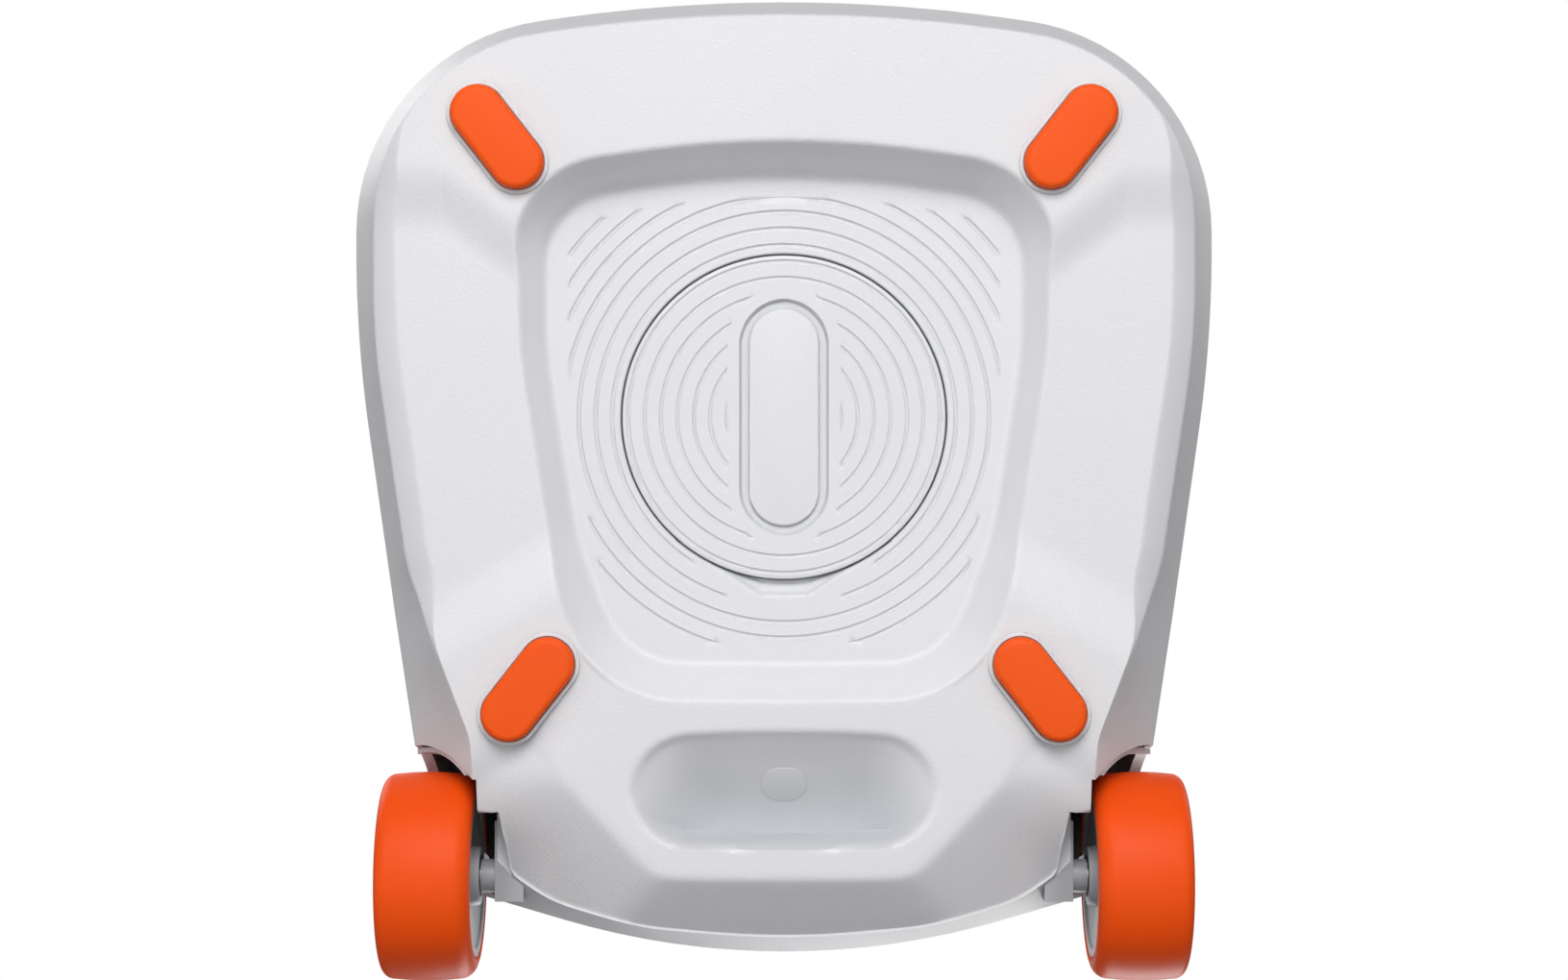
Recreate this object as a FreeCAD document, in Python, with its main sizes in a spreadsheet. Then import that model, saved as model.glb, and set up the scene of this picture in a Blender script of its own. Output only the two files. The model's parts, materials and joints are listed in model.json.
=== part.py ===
import FreeCAD, Part
import math
import os

import Sketcher

# A wheeled, battery-powered loudspeaker: a tall cabinet on a moulded base tray with four rubber
# feet, two trolley wheels at the rear edge, a carry pocket and a round battery cover underneath,
# two woofers and two tweeters behind a curved grille, controls on top and a telescopic handle.
# Millimetres. +Z is up, the grille faces -Y, and the origin is under the middle of the object.

Vector = FreeCAD.Vector
Rotation = FreeCAD.Rotation
doc = FreeCAD.newDocument("TrolleySpeaker")
sheet = doc.addObject("Spreadsheet::Sheet", "Dims")
nodes = {}
rows = []


# ---------------------------------------------------------------- sizes and their expressions

class Size:
    """A length, with the spreadsheet expression that gives it."""

    def __init__(self, value, text):
        self.value = value
        self.text = text

    def combine(self, other, symbol, value, swapped=False):
        text = other.text if isinstance(other, Size) else f"{other:g}"
        left, right = (text, self.text) if swapped else (self.text, text)
        return Size(value, f"({left} {symbol} {right})")

    def __add__(self, other):
        return self.combine(other, "+", self.value + number(other))

    def __radd__(self, other):
        return self.combine(other, "+", self.value + number(other), swapped=True)

    def __sub__(self, other):
        return self.combine(other, "-", self.value - number(other))

    def __rsub__(self, other):
        return self.combine(other, "-", number(other) - self.value, swapped=True)

    def __mul__(self, other):
        return self.combine(other, "*", self.value * number(other))

    def __rmul__(self, other):
        return self.combine(other, "*", self.value * number(other), swapped=True)

    def __truediv__(self, other):
        return self.combine(other, "/", self.value / number(other))

    def __neg__(self):
        return Size(-self.value, f"(-1 * {self.text})")


def number(size):
    return size.value if isinstance(size, Size) else float(size)


def dim(alias, value, meaning):
    """Adds one driving dimension to the spreadsheet."""
    rows.append(alias)
    row = len(rows)
    sheet.set(f"A{row}", meaning)
    sheet.set(f"B{row}", str(value))
    sheet.setAlias(f"B{row}", alias)
    return Size(float(value), f"Dims.{alias}")


def bind(item, prop, size):
    item.setExpression(prop, size.text if isinstance(size, Size) else f"{size:g}")


# ---------------------------------------------------------------- sketches from corner lists

def corner_arc(before, at, after, radius):
    """Where a corner's round starts and ends, and its centre."""
    back = (before - at).normalize()
    forward = (after - at).normalize()
    half = math.acos(max(-1.0, min(1.0, back * forward))) / 2
    reach = radius / math.tan(half)
    centre = at + (back + forward).normalize() * (radius / math.sin(half))
    return at + back * reach, at + forward * reach, centre


def pin_rules(geo, pos, x, y):
    """Constraints that hold a sketch point at x, y, each with the size that drives it."""
    rules = []
    for axis, size, line in (("X", x, -2), ("Y", y, -1)):
        value = number(size)
        if value == 0:
            rules.append((Sketcher.Constraint("PointOnObject", geo, pos, line), None))
        elif value > 0:
            rules.append((Sketcher.Constraint("Distance" + axis, -1, 1, geo, pos, value), size))
        else:
            minus = -size if isinstance(size, Size) else -value
            rules.append((Sketcher.Constraint("Distance" + axis, geo, pos, -1, 1, -value), minus))
    return rules


def draw_outline(sketch, points):
    """A closed outline of corners (x, y, radius), fully constrained to its sizes."""
    count = len(points)
    spots = [Vector(number(x), number(y), 0) for x, y, _ in points]
    arcs = {}
    for i, (_, _, radius) in enumerate(points):
        if number(radius) > 0:
            arcs[i] = corner_arc(spots[i - 1], spots[i], spots[(i + 1) % count], number(radius))
    lines = []
    for i in range(count):
        after = (i + 1) % count
        start = arcs[i][1] if i in arcs else spots[i]
        end = arcs[after][0] if after in arcs else spots[after]
        if (end - start) * (spots[after] - spots[i]) <= 0:
            raise RuntimeError(f"{sketch.Name}: the rounds at corners {i} and {after} overlap")
        lines.append(sketch.addGeometry(Part.LineSegment(start, end), False))
    rules = []
    for i, (x, y, radius) in enumerate(points):
        before, after = lines[i - 1], lines[i]
        if i not in arcs:
            rules.append((Sketcher.Constraint("Coincident", before, 2, after, 1), None))
            rules += pin_rules(after, 1, x, y)
            continue
        enter, leave, centre = arcs[i]
        first_angle = math.atan2(enter.y - centre.y, enter.x - centre.x)
        last_angle = math.atan2(leave.y - centre.y, leave.x - centre.x)
        turn = (spots[i] - spots[i - 1]).cross(spots[(i + 1) % count] - spots[i]).z
        first, last = 1, 2
        if turn < 0:
            first_angle, last_angle = last_angle, first_angle
            first, last = 2, 1
        circle = Part.Circle(centre, Vector(0, 0, 1), number(radius))
        arc = sketch.addGeometry(Part.ArcOfCircle(circle, first_angle, last_angle), False)
        knot = sketch.addGeometry(Part.Point(spots[i]), True)
        rules.append((Sketcher.Constraint("Tangent", before, 2, arc, first), None))
        rules.append((Sketcher.Constraint("Tangent", arc, last, after, 1), None))
        rules.append((Sketcher.Constraint("Radius", arc, number(radius)), radius))
        rules.append((Sketcher.Constraint("PointOnObject", knot, 1, before), None))
        rules.append((Sketcher.Constraint("PointOnObject", knot, 1, after), None))
        rules += pin_rules(knot, 1, x, y)
    first_rule = sketch.ConstraintCount
    sketch.addConstraint([rule for rule, _ in rules])
    for k, (_, size) in enumerate(rules):
        if size is not None:
            bind(sketch, f"Constraints[{first_rule + k}]", size)


def sketch_on(body, role, points, offset=0):
    """A sketch on one of the body's own origin planes, moved along that plane's normal."""
    plane = [f for f in body.Origin.OriginFeatures if f.Role == role][0]
    sketch = body.newObject("Sketcher::SketchObject", body.Name + "Sketch")
    sketch.AttachmentSupport = (plane, [""])
    sketch.MapMode = "FlatFace"
    sketch.AttachmentOffset = FreeCAD.Placement(Vector(0, 0, number(offset)), Rotation())
    bind(sketch, ".AttachmentOffset.Base.z", offset)
    draw_outline(sketch, points)
    return sketch


def mirrored(half):
    """A whole outline from its right half: corners on x = 0 are kept once."""
    other = [(-x if isinstance(x, Size) else -1 * x, y, r) for x, y, r in half if number(x) != 0]
    return half + other[::-1]


def round_rect(half_width, low, high, radius):
    return [(-half_width, low, radius), (half_width, low, radius),
            (half_width, high, radius), (-half_width, high, radius)]


# ---------------------------------------------------------------- solids

def prism(name, points, low, high, role="XY_Plane"):
    """An outline padded from low to high along Z (XY_Plane), Y (XZ_Plane) or X (YZ_Plane)."""
    body = doc.addObject("PartDesign::Body", name)
    start = -high if role == "XZ_Plane" else low
    sketch = sketch_on(body, role, points, start)
    pad = body.newObject("PartDesign::Pad", name + "Pad")
    pad.Profile = sketch
    bind(pad, "Length", high - low)
    return body


def loft(name, layers):
    """Outlines with the same number of corners, each at its height, joined by ruled faces."""
    body = doc.addObject("PartDesign::Body", name)
    sketches = [sketch_on(body, "XY_Plane", points, level) for points, level in layers]
    feature = body.newObject("PartDesign::AdditiveLoft", name + "Loft")
    feature.Profile = sketches[0]
    feature.Sections = sketches[1:]
    feature.Ruled = True
    return body


def place(item, x, y, z, turn=None):
    item.Placement = FreeCAD.Placement(Vector(number(x), number(y), number(z)), turn or Rotation())
    bind(item, ".Placement.Base.x", x)
    bind(item, ".Placement.Base.y", y)
    bind(item, ".Placement.Base.z", z)
    return item


def turned(name, profile, x, y, z, turn=None):
    """A profile of (radius, height along the axis, round) turned about the axis, then placed."""
    body = doc.addObject("PartDesign::Body", name)
    sketch = sketch_on(body, "XZ_Plane", profile)
    spin = body.newObject("PartDesign::Revolution", name + "Turn")
    spin.Profile = sketch
    spin.ReferenceAxis = (sketch, ["V_Axis"])
    spin.Angle = 360
    return place(body, x, y, z, turn)


def block(name, low, high):
    item = doc.addObject("Part::Box", name)
    for prop, a, b in zip(("Length", "Width", "Height"), low, high):
        bind(item, prop, b - a)
    return place(item, *low)


def rod(name, radius, length, x, y, z, turn=None):
    item = doc.addObject("Part::Cylinder", name)
    bind(item, "Radius", radius)
    bind(item, "Height", length)
    return place(item, x, y, z, turn)


def fused(name, *items):
    item = doc.addObject("Part::MultiFuse", name)
    item.Shapes = list(items)
    return item


def cut(name, base, *tools):
    item = doc.addObject("Part::Cut", name)
    item.Base = base
    item.Tool = tools[0] if len(tools) == 1 else fused(name + "Tools", *tools)
    return item


def common(name, first, second):
    item = doc.addObject("Part::Common", name)
    item.Base = first
    item.Tool = second
    return item


def group(name, items):
    """Separate solids that share one node."""
    item = doc.addObject("Part::Compound", name)
    item.Links = items
    return item


def rounded(name, base, radius, wanted):
    """Fillets the edges of base for which wanted(edge) is true."""
    doc.recompute()
    picked = [i for i, edge in enumerate(base.Shape.Edges, 1) if wanted(edge)]
    item = doc.addObject("Part::Fillet", name)
    item.Base = base
    item.Edges = [(i, number(radius), number(radius)) for i in picked]
    return item


def node(label, item):
    item.Label = label
    nodes[label] = item
    return item


def on_level(level):
    """True for edges that lie flat at one height."""
    def test(edge):
        box = edge.BoundBox
        return abs(box.ZMin - number(level)) < 0.01 and abs(box.ZMax - number(level)) < 0.01
    return test


FORWARD = Rotation(Vector(1, 0, 0), 90)      # turns an axis of +Z to -Y
REARWARD = Rotation(Vector(1, 0, 0), -90)    # turns an axis of +Z to +Y
SIDES = (("left", -1), ("right", 1))


def outward(side):
    """Turns an axis of +Z to +X or -X."""
    return Rotation(Vector(0, 1, 0), 90 * side)


# ---------------------------------------------------------------- driving dimensions

half_width = dim("half_width", 166.5, "half of the cabinet's greatest width")
front_peak = dim("front_peak", 195.0, "corner that the front arc is drawn in, ahead of the origin")
front_corner = dim("front_corner", 171.5, "front corner, ahead of the origin")
front_arc = dim("front_arc", 620, "radius of the bowed front")
corner_round = dim("corner_round", 83, "radius of the front corners in plan")
side_break = dim("side_break", 57, "where the sides start to taper, ahead of the origin")
side_arc = dim("side_arc", 500, "radius of the bend where the sides start to taper")
rear_half = dim("rear_half", 136, "half-width at the rear corners")
rear_corner = dim("rear_corner", 151, "rear corner, behind the origin")
rear_round = dim("rear_round", 22, "radius of the rear corners in plan")
rear_peak = dim("rear_peak", 191, "corner that the rear arc is drawn in")
rear_arc = dim("rear_arc", 300, "radius of the bowed rear")

land_level = dim("land_level", 6, "height of the land that the feet stand on")
lip_level = dim("lip_level", 13, "height where the base's lower chamfer ends")
hull_level = dim("hull_level", 50, "height where the base reaches its full width")
seam_level = dim("seam_level", 56, "height of the seam between tray and cabinet")
cap_level = dim("cap_level", 628, "height of the seam between cabinet and top cap")
top_level = dim("top_level", 650, "height of the top cap's upper face")
wall = dim("wall", 4, "wall thickness of the mouldings")

recess_half = dim("recess_half", 101.5, "half-width of the underside recess at its mouth")
recess_front = dim("recess_front", 129.5, "front of the recess mouth, ahead of the origin")
recess_rear = dim("recess_rear", 79.5, "rear of the recess mouth")
recess_level = dim("recess_level", 24, "height of the recess's flat face")
recess_slope = dim("recess_slope", 13, "how far the recess wall leans in")

cover_y = dim("cover_y", 26.7, "battery cover's centre, ahead of the origin")
cover_radius = dim("cover_radius", 61.7, "battery cover's radius")
cover_gap = dim("cover_gap", 0.4, "gap round the battery cover")
cover_thick = dim("cover_thick", 3.6, "battery cover's thickness")
floor_thick = dim("floor_thick", 4, "thickness of the recess floor")
bay_radius = dim("bay_radius", 56, "inside radius of the battery bay")
bay_height = dim("bay_height", 110, "inside height of the battery bay")
pack_gap = dim("pack_gap", 1.2, "gap round the battery pack")

foot_length = dim("foot_length", 44, "length of a foot")
foot_width = dim("foot_width", 20.4, "width of a foot")
foot_sink = dim("foot_sink", 2, "how deep a foot sits in its seat")
foot_edge = dim("foot_edge", 2.2, "round on a foot's tread edge")
front_foot_x = dim("front_foot_x", 107.3, "front feet, from the middle")
front_foot_y = dim("front_foot_y", 131, "front feet, ahead of the origin")
rear_foot_x = dim("rear_foot_x", 95.8, "rear feet, from the middle")
rear_foot_y = dim("rear_foot_y", 75.5, "rear feet, behind the origin")

pocket_half = dim("pocket_half", 57.5, "half-width of the carry pocket")
pocket_front = dim("pocket_front", 91, "front edge of the carry pocket")
pocket_rear = dim("pocket_rear", 135.5, "rear edge of the carry pocket")
pocket_round = dim("pocket_round", 20, "corner radius of the carry pocket")
pocket_depth = dim("pocket_depth", 28, "depth of the carry pocket")

wheel_y = dim("wheel_y", 150, "wheel axis, behind the origin")
wheel_z = dim("wheel_z", 41, "wheel axis, above the floor")
wheel_inner = dim("wheel_inner", 118, "wheel's inner face, from the middle")
wheel_width = dim("wheel_width", 36, "width of a wheel")
wheel_radius = dim("wheel_radius", 40, "radius of a wheel")
rim_radius = dim("rim_radius", 31, "radius of the hub where the tyre sits")
axle_radius = dim("axle_radius", 5, "radius of the wheel axle")
running_gap = dim("running_gap", 0.05, "radial gap of a running fit")
bush_radius = dim("bush_radius", 8, "outside radius of a wheel bush")
well_radius = dim("well_radius", 48.5, "inside radius of a wheel well")
well_skin = dim("well_skin", 1.8, "thickness of the wheel well liner")
well_inner = dim("well_inner", 111.5, "wheel well's inner wall, from the middle")

baffle_y = dim("baffle_y", 152, "baffle's front face, ahead of the origin")
baffle_thick = dim("baffle_thick", 12, "baffle thickness")
window_half = dim("window_half", 132, "half-width of the grille opening")
window_low = dim("window_low", 86, "bottom of the grille opening")
window_high = dim("window_high", 606, "top of the grille opening")
window_round = dim("window_round", 58, "corner radius of the grille opening")
frame_width = dim("frame_width", 4, "width of the grille's accent frame")
grille_gap = dim("grille_gap", 0.4, "gap round the grille")
grille_sheet = dim("grille_sheet", 1.6, "thickness of the grille")
lower_woofer = dim("lower_woofer", 202, "height of the lower woofer")
upper_woofer = dim("upper_woofer", 392, "height of the upper woofer")
woofer_radius = dim("woofer_radius", 88, "radius of a woofer's frame")
cone_radius = dim("cone_radius", 66, "radius of a woofer's cone")
tweeter_level = dim("tweeter_level", 535, "height of the tweeters")
tweeter_x = dim("tweeter_x", 58, "tweeters, from the middle")
tweeter_radius = dim("tweeter_radius", 38, "radius of a tweeter's plate")

panel_half = dim("panel_half", 60, "half-width of the rear panel's opening")
panel_low = dim("panel_low", 190, "bottom of the rear panel's opening")
panel_high = dim("panel_high", 520, "top of the rear panel's opening")
panel_y = dim("panel_y", 163, "outer face of the rear panel")
panel_thick = dim("panel_thick", 3, "thickness of the rear panel")
port_radius = dim("port_radius", 31, "inside radius of the bass port")
port_level = dim("port_level", 245, "height of the bass port")
port_length = dim("port_length", 110, "length of the bass port")
jack_radius = dim("jack_radius", 3.3, "bore of a jack socket")

tube_x = dim("tube_x", 80, "handle tubes, from the middle")
tube_y = dim("tube_y", 147, "handle tubes, behind the origin")
tube_radius = dim("tube_radius", 8.6, "outside radius of a handle tube")
tube_wall = dim("tube_wall", 1.4, "wall of a handle tube")
sleeve_radius = dim("sleeve_radius", 11, "outside radius of a handle sleeve")
sleeve_low = dim("sleeve_low", 130, "bottom of the handle sleeves")
grip_low = dim("grip_low", 651, "underside of the handle grip")
grip_high = dim("grip_high", 669, "top of the handle grip")

deck_half = dim("deck_half", 112, "half-width of the control deck")
deck_front = dim("deck_front", 128, "front edge of the control deck, ahead of the origin")
deck_rear = dim("deck_rear", 70, "rear edge of the control deck")
deck_level = dim("deck_level", 642, "height that the control deck lies at")
deck_thick = dim("deck_thick", 3, "thickness of the control deck")
knob_radius = dim("knob_radius", 25, "radius of the volume knob")
small_knob_radius = dim("small_knob_radius", 10, "radius of a gain knob")
button_radius = dim("button_radius", 7.5, "radius of a push button")
board_level = dim("board_level", 630, "height of the control board")
doc.recompute()


# ---------------------------------------------------------------- the cabinet's plan outline

def hull_outline(grow=0):
    """The cabinet in plan, or one grown outwards by about that much."""
    return mirrored([
        (0, -front_peak - grow, front_arc),
        (half_width + grow, -front_corner - grow, corner_round + grow),
        (half_width + grow, -side_break, side_arc),
        (half_width - 15.2 + grow, 50, 300),
        (rear_half + grow, rear_corner + grow, rear_round),
        (0, rear_peak + grow, rear_arc),
    ])


def tray_outline(front, corner_x, corner_y, round_, rear_x, rear_y, rear):
    """One level of the base tray below its full width. The side bends in again near the wheels."""
    return mirrored([
        (0, -front, 600),
        (corner_x, -corner_y, round_),
        (corner_x, -54, 480),
        (corner_x - 19, 58, 90),
        (rear_x, rear_y, 14),
        (0, rear, 280),
    ])


def make_whole_hull():
    """The outer body from the land to the top cap, used to trim what lies flush with it."""
    low = loft("HullLow", [
        (tray_outline(178, 148, 156, 68, 106, 141, 176), land_level),
        (tray_outline(184, 155, 161.5, 75, 117, 146, 184), lip_level),
        (hull_outline(), hull_level),
    ])
    high = prism("HullHigh", hull_outline(), hull_level, cap_level)
    return low, high


# ---------------------------------------------------------------- base tray

def stadium(name, length, width, low, high):
    """An oblong along X with round ends, from low to high, about the origin."""
    return prism(name, round_rect(length / 2, -width / 2, width / 2, width / 2 - 0.01), low, high)


FOOT_TURN = 52


def foot_places():
    """Each foot's name, place and turn about Z: they all point to the middle of the tray."""
    return (
        ("front_left", -front_foot_x, -front_foot_y, FOOT_TURN),
        ("front_right", front_foot_x, -front_foot_y, -FOOT_TURN),
        ("rear_left", -rear_foot_x, rear_foot_y, -FOOT_TURN),
        ("rear_right", rear_foot_x, rear_foot_y, FOOT_TURN),
    )


def make_feet():
    seats = []
    for name, x, y, angle in foot_places():
        turn = Rotation(Vector(0, 0, 1), angle)
        pad = stadium("Foot" + name, foot_length, foot_width, 0, land_level + foot_sink - 0.1)
        foot = rounded("FootRound" + name, pad, foot_edge, on_level(0))
        node("foot_" + name, place(foot, x, y, 0, turn))
        seat = stadium("Seat" + name, foot_length + 0.6, foot_width + 0.6, 0, land_level + foot_sink)
        seats.append(place(seat, x, y, 0, turn))
    return seats


def facet(name, x, y, heading, slope, width):
    """A block whose upper face rises from the land at slope, towards heading (degrees from +Y to -X)."""
    item = doc.addObject("Part::Box", name)
    bind(item, "Length", width)
    bind(item, "Width", 120)
    bind(item, "Height", 70)
    turn = Rotation(Vector(0, 0, 1), heading).multiply(Rotation(Vector(1, 0, 0), slope))
    corner = turn.multVec(Vector(-width / 2, 0, -70))
    return place(item, corner.x + x, corner.y + y, land_level + corner.z, turn)


def wheel_space(side, radius):
    """The space round one wheel that the mouldings leave open."""
    far = half_width + 20 - well_inner
    arch = rod(f"Arch{side}", radius, far, side * well_inner, wheel_y, wheel_z, outward(side))
    edge = [side * well_inner, side * (half_width + 20)]
    behind = block(f"Behind{side}", (min(edge, key=number), 123, 0),
                   (max(edge, key=number), 200, wheel_z))
    return fused(f"WheelSpace{side}", arch, behind)


def bracket_space(side):
    edge = [side * 99.6, side * (well_inner + 1)]
    return block(f"BracketSpace{side}", (min(edge, key=number), 127.5, 33), (max(edge, key=number), 165, 71))


def make_base_tray(hull_low, seats, spaces):
    skirt = prism("TraySkirt", hull_outline(), hull_level, seam_level)
    outer = fused("TrayOuter", hull_low, skirt)
    inner_room = prism("TrayRoom", mirrored([
        (0, -172, 590), (half_width - 14, -front_corner + 18, 66), (half_width - 14, -54, 300),
        (rear_half - 24, 122, 10), (94, 146, 10), (0, 166, 280)]), recess_level + floor_thick + 6, 60)
    centre_room = prism("TrayCentre", mirrored([
        (recess_half + 12, -recess_front - 12, 60), (recess_half + 12, -54, 200),
        (84, 86, 60)]), recess_level + floor_thick, 60)
    rim_room = prism("TrayRim", mirrored([
        (0, -168, 500), (138, -147, 58), (138, -50, 480), (119, 56, 60), (97, 85, 12), (45, 137, 12),
    ]), land_level + 5, 60)
    recess_block = prism("TrayKeep", mirrored([
        (0, -recess_front - 12, 590), (recess_half + 5, -recess_front - 2, 45),
        (recess_half + 5, -45, 300), (84, recess_rear - 6, 50), (0, recess_rear + 8, 250)]), 5, 61)
    rim_ring = cut("TrayRimRing", rim_room, recess_block)
    hollow = cut("TrayHollow", outer, inner_room, centre_room, rim_ring)
    pocket_block = prism("PocketBlock", round_rect(pocket_half + wall, pocket_front - wall,
                                                   pocket_rear + wall, pocket_round + wall),
                         land_level + 0.5, land_level + pocket_depth + 3)
    solid = fused("TraySolid", hollow, pocket_block)
    recess = loft("Recess", [
        (mirrored([(0, -recess_front - 3, 560), (recess_half + 1, -recess_front + 5, 36),
                   (recess_half + 1, -40, 300), (recess_half - 20, recess_rear - 6, 42),
                   (0, recess_rear + 4, 330)]), land_level - 0.5),
        (mirrored([(0, -recess_front + recess_slope - 3, 520),
                   (recess_half - recess_slope, -recess_front + recess_slope + 4, 30),
                   (recess_half - recess_slope, -40, 300),
                   (recess_half - 20 - recess_slope, recess_rear - 6 - recess_slope, 34),
                   (0, recess_rear - recess_slope + 4, 280)]), recess_level)])
    bore = rod("CoverBore", cover_radius + cover_gap, 12, 0, -cover_y, recess_level - 4)
    notch = prism("FingerNotch", [(-26, 28, 0), (26, 28, 0), (10, 43, 8), (-10, 43, 8)],
                  recess_level - 1, recess_level + 3)
    pocket = prism("CarryPocket", round_rect(pocket_half, pocket_front, pocket_rear, pocket_round),
                   land_level - 3, land_level + pocket_depth)
    plug_hole = place(stadium("PlugHole", 17.8, 14, 0, 6), 0, 113, land_level + pocket_depth - 1)
    facets = [facet("RearFacet", 0, 147.5, 0, 40, 420),
              facet("LeftFacet", -96.8, 96.8, 45, 32, 170),
              facet("RightFacet", 96.8, 96.8, -45, 32, 170)]
    tray = cut("Tray", solid, recess, bore, notch, pocket, plug_hole, *facets, *seats, *spaces)
    node("base_tray", tray)
    plug = place(stadium("Plug", 17.4, 13.6, 0, 3.3), 0, 113, land_level + pocket_depth - 0.4)
    node("pocket_plug", plug)


# ---------------------------------------------------------------- battery

def make_battery():
    floor_top = recess_level + floor_thick
    disc = turned("CoverDisc", [(0, 0, 0), (cover_radius, 0, 0.6), (cover_radius, cover_thick, 0),
                                (0, cover_thick, 0)], 0, -cover_y, recess_level)
    ring = turned("CoverRing", [(44, 0, 0), (47, 0, 0), (47, 3, 0), (44, 3, 0)], 0, -cover_y,
                  recess_level + cover_thick - 0.5)
    node("battery_cover", fused("BatteryCover", disc, ring))
    outer = bay_radius + 3
    bay = turned("Bay", [(bay_radius, 0, 0), (outer + 9, 0, 0), (outer + 9, 3, 0), (outer, 3, 0),
                         (outer, bay_height + 3, 2), (0, bay_height + 3, 0), (0, bay_height, 0),
                         (bay_radius, bay_height, 0)], 0, -cover_y, floor_top)
    node("battery_bay", bay)
    pack_radius = bay_radius - pack_gap
    pack = turned("Pack", [(0, 0, 0), (pack_radius - 14, 0, 0), (pack_radius - 12, 3.2, 0),
                           (pack_radius, 3.2, 2), (pack_radius, bay_height - 6, 3),
                           (0, bay_height - 6, 0)], 0, -cover_y, floor_top + 0.4)
    strap = doc.addObject("Part::Torus", "PackRing")
    bind(strap, "Radius1", 30)
    bind(strap, "Radius2", 1.2)
    place(strap, 0, -cover_y, floor_top + 1.4)
    node("battery_pack", fused("BatteryPack", pack, strap))
    pins = [rod(f"Contact{i}", 2.5, 4.6, 12 * i, -cover_y, floor_top + bay_height - 4.6)
            for i in (-2, -1, 0, 1, 2)]
    node("battery_contacts", group("BatteryContacts", pins))


# ---------------------------------------------------------------- cabinet

def make_cabinet(hull_high, spaces):
    tube = prism("ShellOuter", hull_outline(), seam_level, cap_level)
    bore = prism("ShellBore", hull_outline(-wall), seam_level - 1, cap_level + 1)
    window = prism("GrilleWindow", round_rect(window_half, window_low, window_high, window_round),
                   -220, -140, "XZ_Plane")
    rear = prism("PanelWindow", round_rect(panel_half, panel_low, panel_high, 16), 140, 220, "XZ_Plane")
    node("cabinet_shell", cut("Shell", tube, bore, window, rear, *spaces))


def make_front():
    low, high = window_low + grille_gap, window_high - grille_gap
    half = window_half - grille_gap
    hull = prism("FrameHull", hull_outline(1.0), low - 1, high + 1)
    hull_back = prism("FrameBack", hull_outline(-wall - 3), low - 2, high + 2)
    ring_outer = prism("FrameOuter", round_rect(half, low, high, window_round - grille_gap),
                       -220, -150, "XZ_Plane")
    inner = frame_width
    ring_inner = prism("FrameInner", round_rect(half - inner, low + inner, high - inner,
                                                window_round - inner), -221, -149, "XZ_Plane")
    band = common("FrameBand", cut("FrameSkin", hull, hull_back), ring_outer)
    node("grille_frame", cut("Frame", band, ring_inner))
    skin_outer = prism("GrilleHull", hull_outline(0.4), low, high)
    skin_inner = prism("GrilleBack", hull_outline(-grille_sheet), low - 1, high + 1)
    gap = inner + grille_gap
    sheet_outline = prism("GrilleOutline", round_rect(half - gap, low + gap, high - gap,
                                                      window_round - gap), -220, -150, "XZ_Plane")
    node("front_grille", common("Grille", cut("GrilleSkin", skin_outer, skin_inner), sheet_outline))

    front = -baffle_y
    slab = prism("BaffleSlab", round_rect(150, seam_level + 8, cap_level - 6, 30),
                 front, front + baffle_thick, "XZ_Plane")
    fit = prism("BaffleFit", hull_outline(-wall - 0.1), seam_level, cap_level)
    plate = common("BafflePlate", slab, fit)
    holes = []
    for name, level in (("Lower", lower_woofer), ("Upper", upper_woofer)):
        holes.append(rod(f"Hole{name}", woofer_radius - 9, 40, 0, front + 20, level, FORWARD))
    for name, side in SIDES:
        holes.append(rod(f"TweeterHole{name}", tweeter_radius - 10, 40, side * tweeter_x, front + 20,
                         tweeter_level, FORWARD))
    node("front_baffle", cut("Baffle", plate, *holes))


def make_woofer(name, level):
    """One driver. Heights in the profiles run forwards from the baffle's face."""
    front = -baffle_y
    r = woofer_radius
    basket = turned(f"Basket{name}", [
        (r - 17, 4, 0), (r, 4, 1), (r, 0.05, 0), (r - 10, 0.05, 0), (54, -48, 0), (54, -77, 3), (0, -77, 0),
        (0, -56, 0), (50, -56, 0), (50, -47, 0), (r - 17, -2, 0)], 0, front, level, FORWARD)
    node(f"woofer_basket_{name}", basket)
    cone = turned(f"Cone{name}", [
        (0, -21, 0), (12, -22.5, 10), (20, -29, 0), (cone_radius - 3, 1.5, 2), (cone_radius, 1.5, 0),
        (cone_radius, 0, 0), (cone_radius - 2, 0, 0), (21, -31, 0), (21, -44, 0), (19.5, -44, 0),
        (19.5, -30.5, 0), (0, -23, 0)], 0, front, level, FORWARD)
    node(f"woofer_cone_{name}", cone)
    lip = cone_radius + 0.4
    surround = turned(f"Surround{name}", [
        (lip, 0.4, 0), (lip, 8.6, 3.6), (lip + 8, 8.6, 2.6), (lip + 8, 5.6, 0), (r - 6, 5.6, 0.6),
        (r - 6, 4.02, 0), (lip + 4.3, 4.02, 0), (lip + 4.3, 0.4, 0)], 0, front, level, FORWARD)
    ring = turned(f"Light{name}", [(r + 1, 0.05, 0), (r + 1, 5, 2), (r + 6.5, 5, 2), (r + 6.5, 0.05, 0)],
                  0, front, level, FORWARD)
    return surround, ring


def make_tweeters():
    r = tweeter_radius
    for name, side in SIDES:
        horn = turned(f"Horn{name}", [
            (0, 0.5, 0), (9, -1.5, 8), (12.5, -6, 0), (r - 4, 3.4, 3), (r, 3.4, 1), (r, 0.05, 0),
            (r - 11, 0.05, 0), (r - 11, -26, 2), (0, -26, 0)],
            side * tweeter_x, -baffle_y, tweeter_level, FORWARD)
        node(f"tweeter_{name}", horn)


# ---------------------------------------------------------------- rear panel

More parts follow.
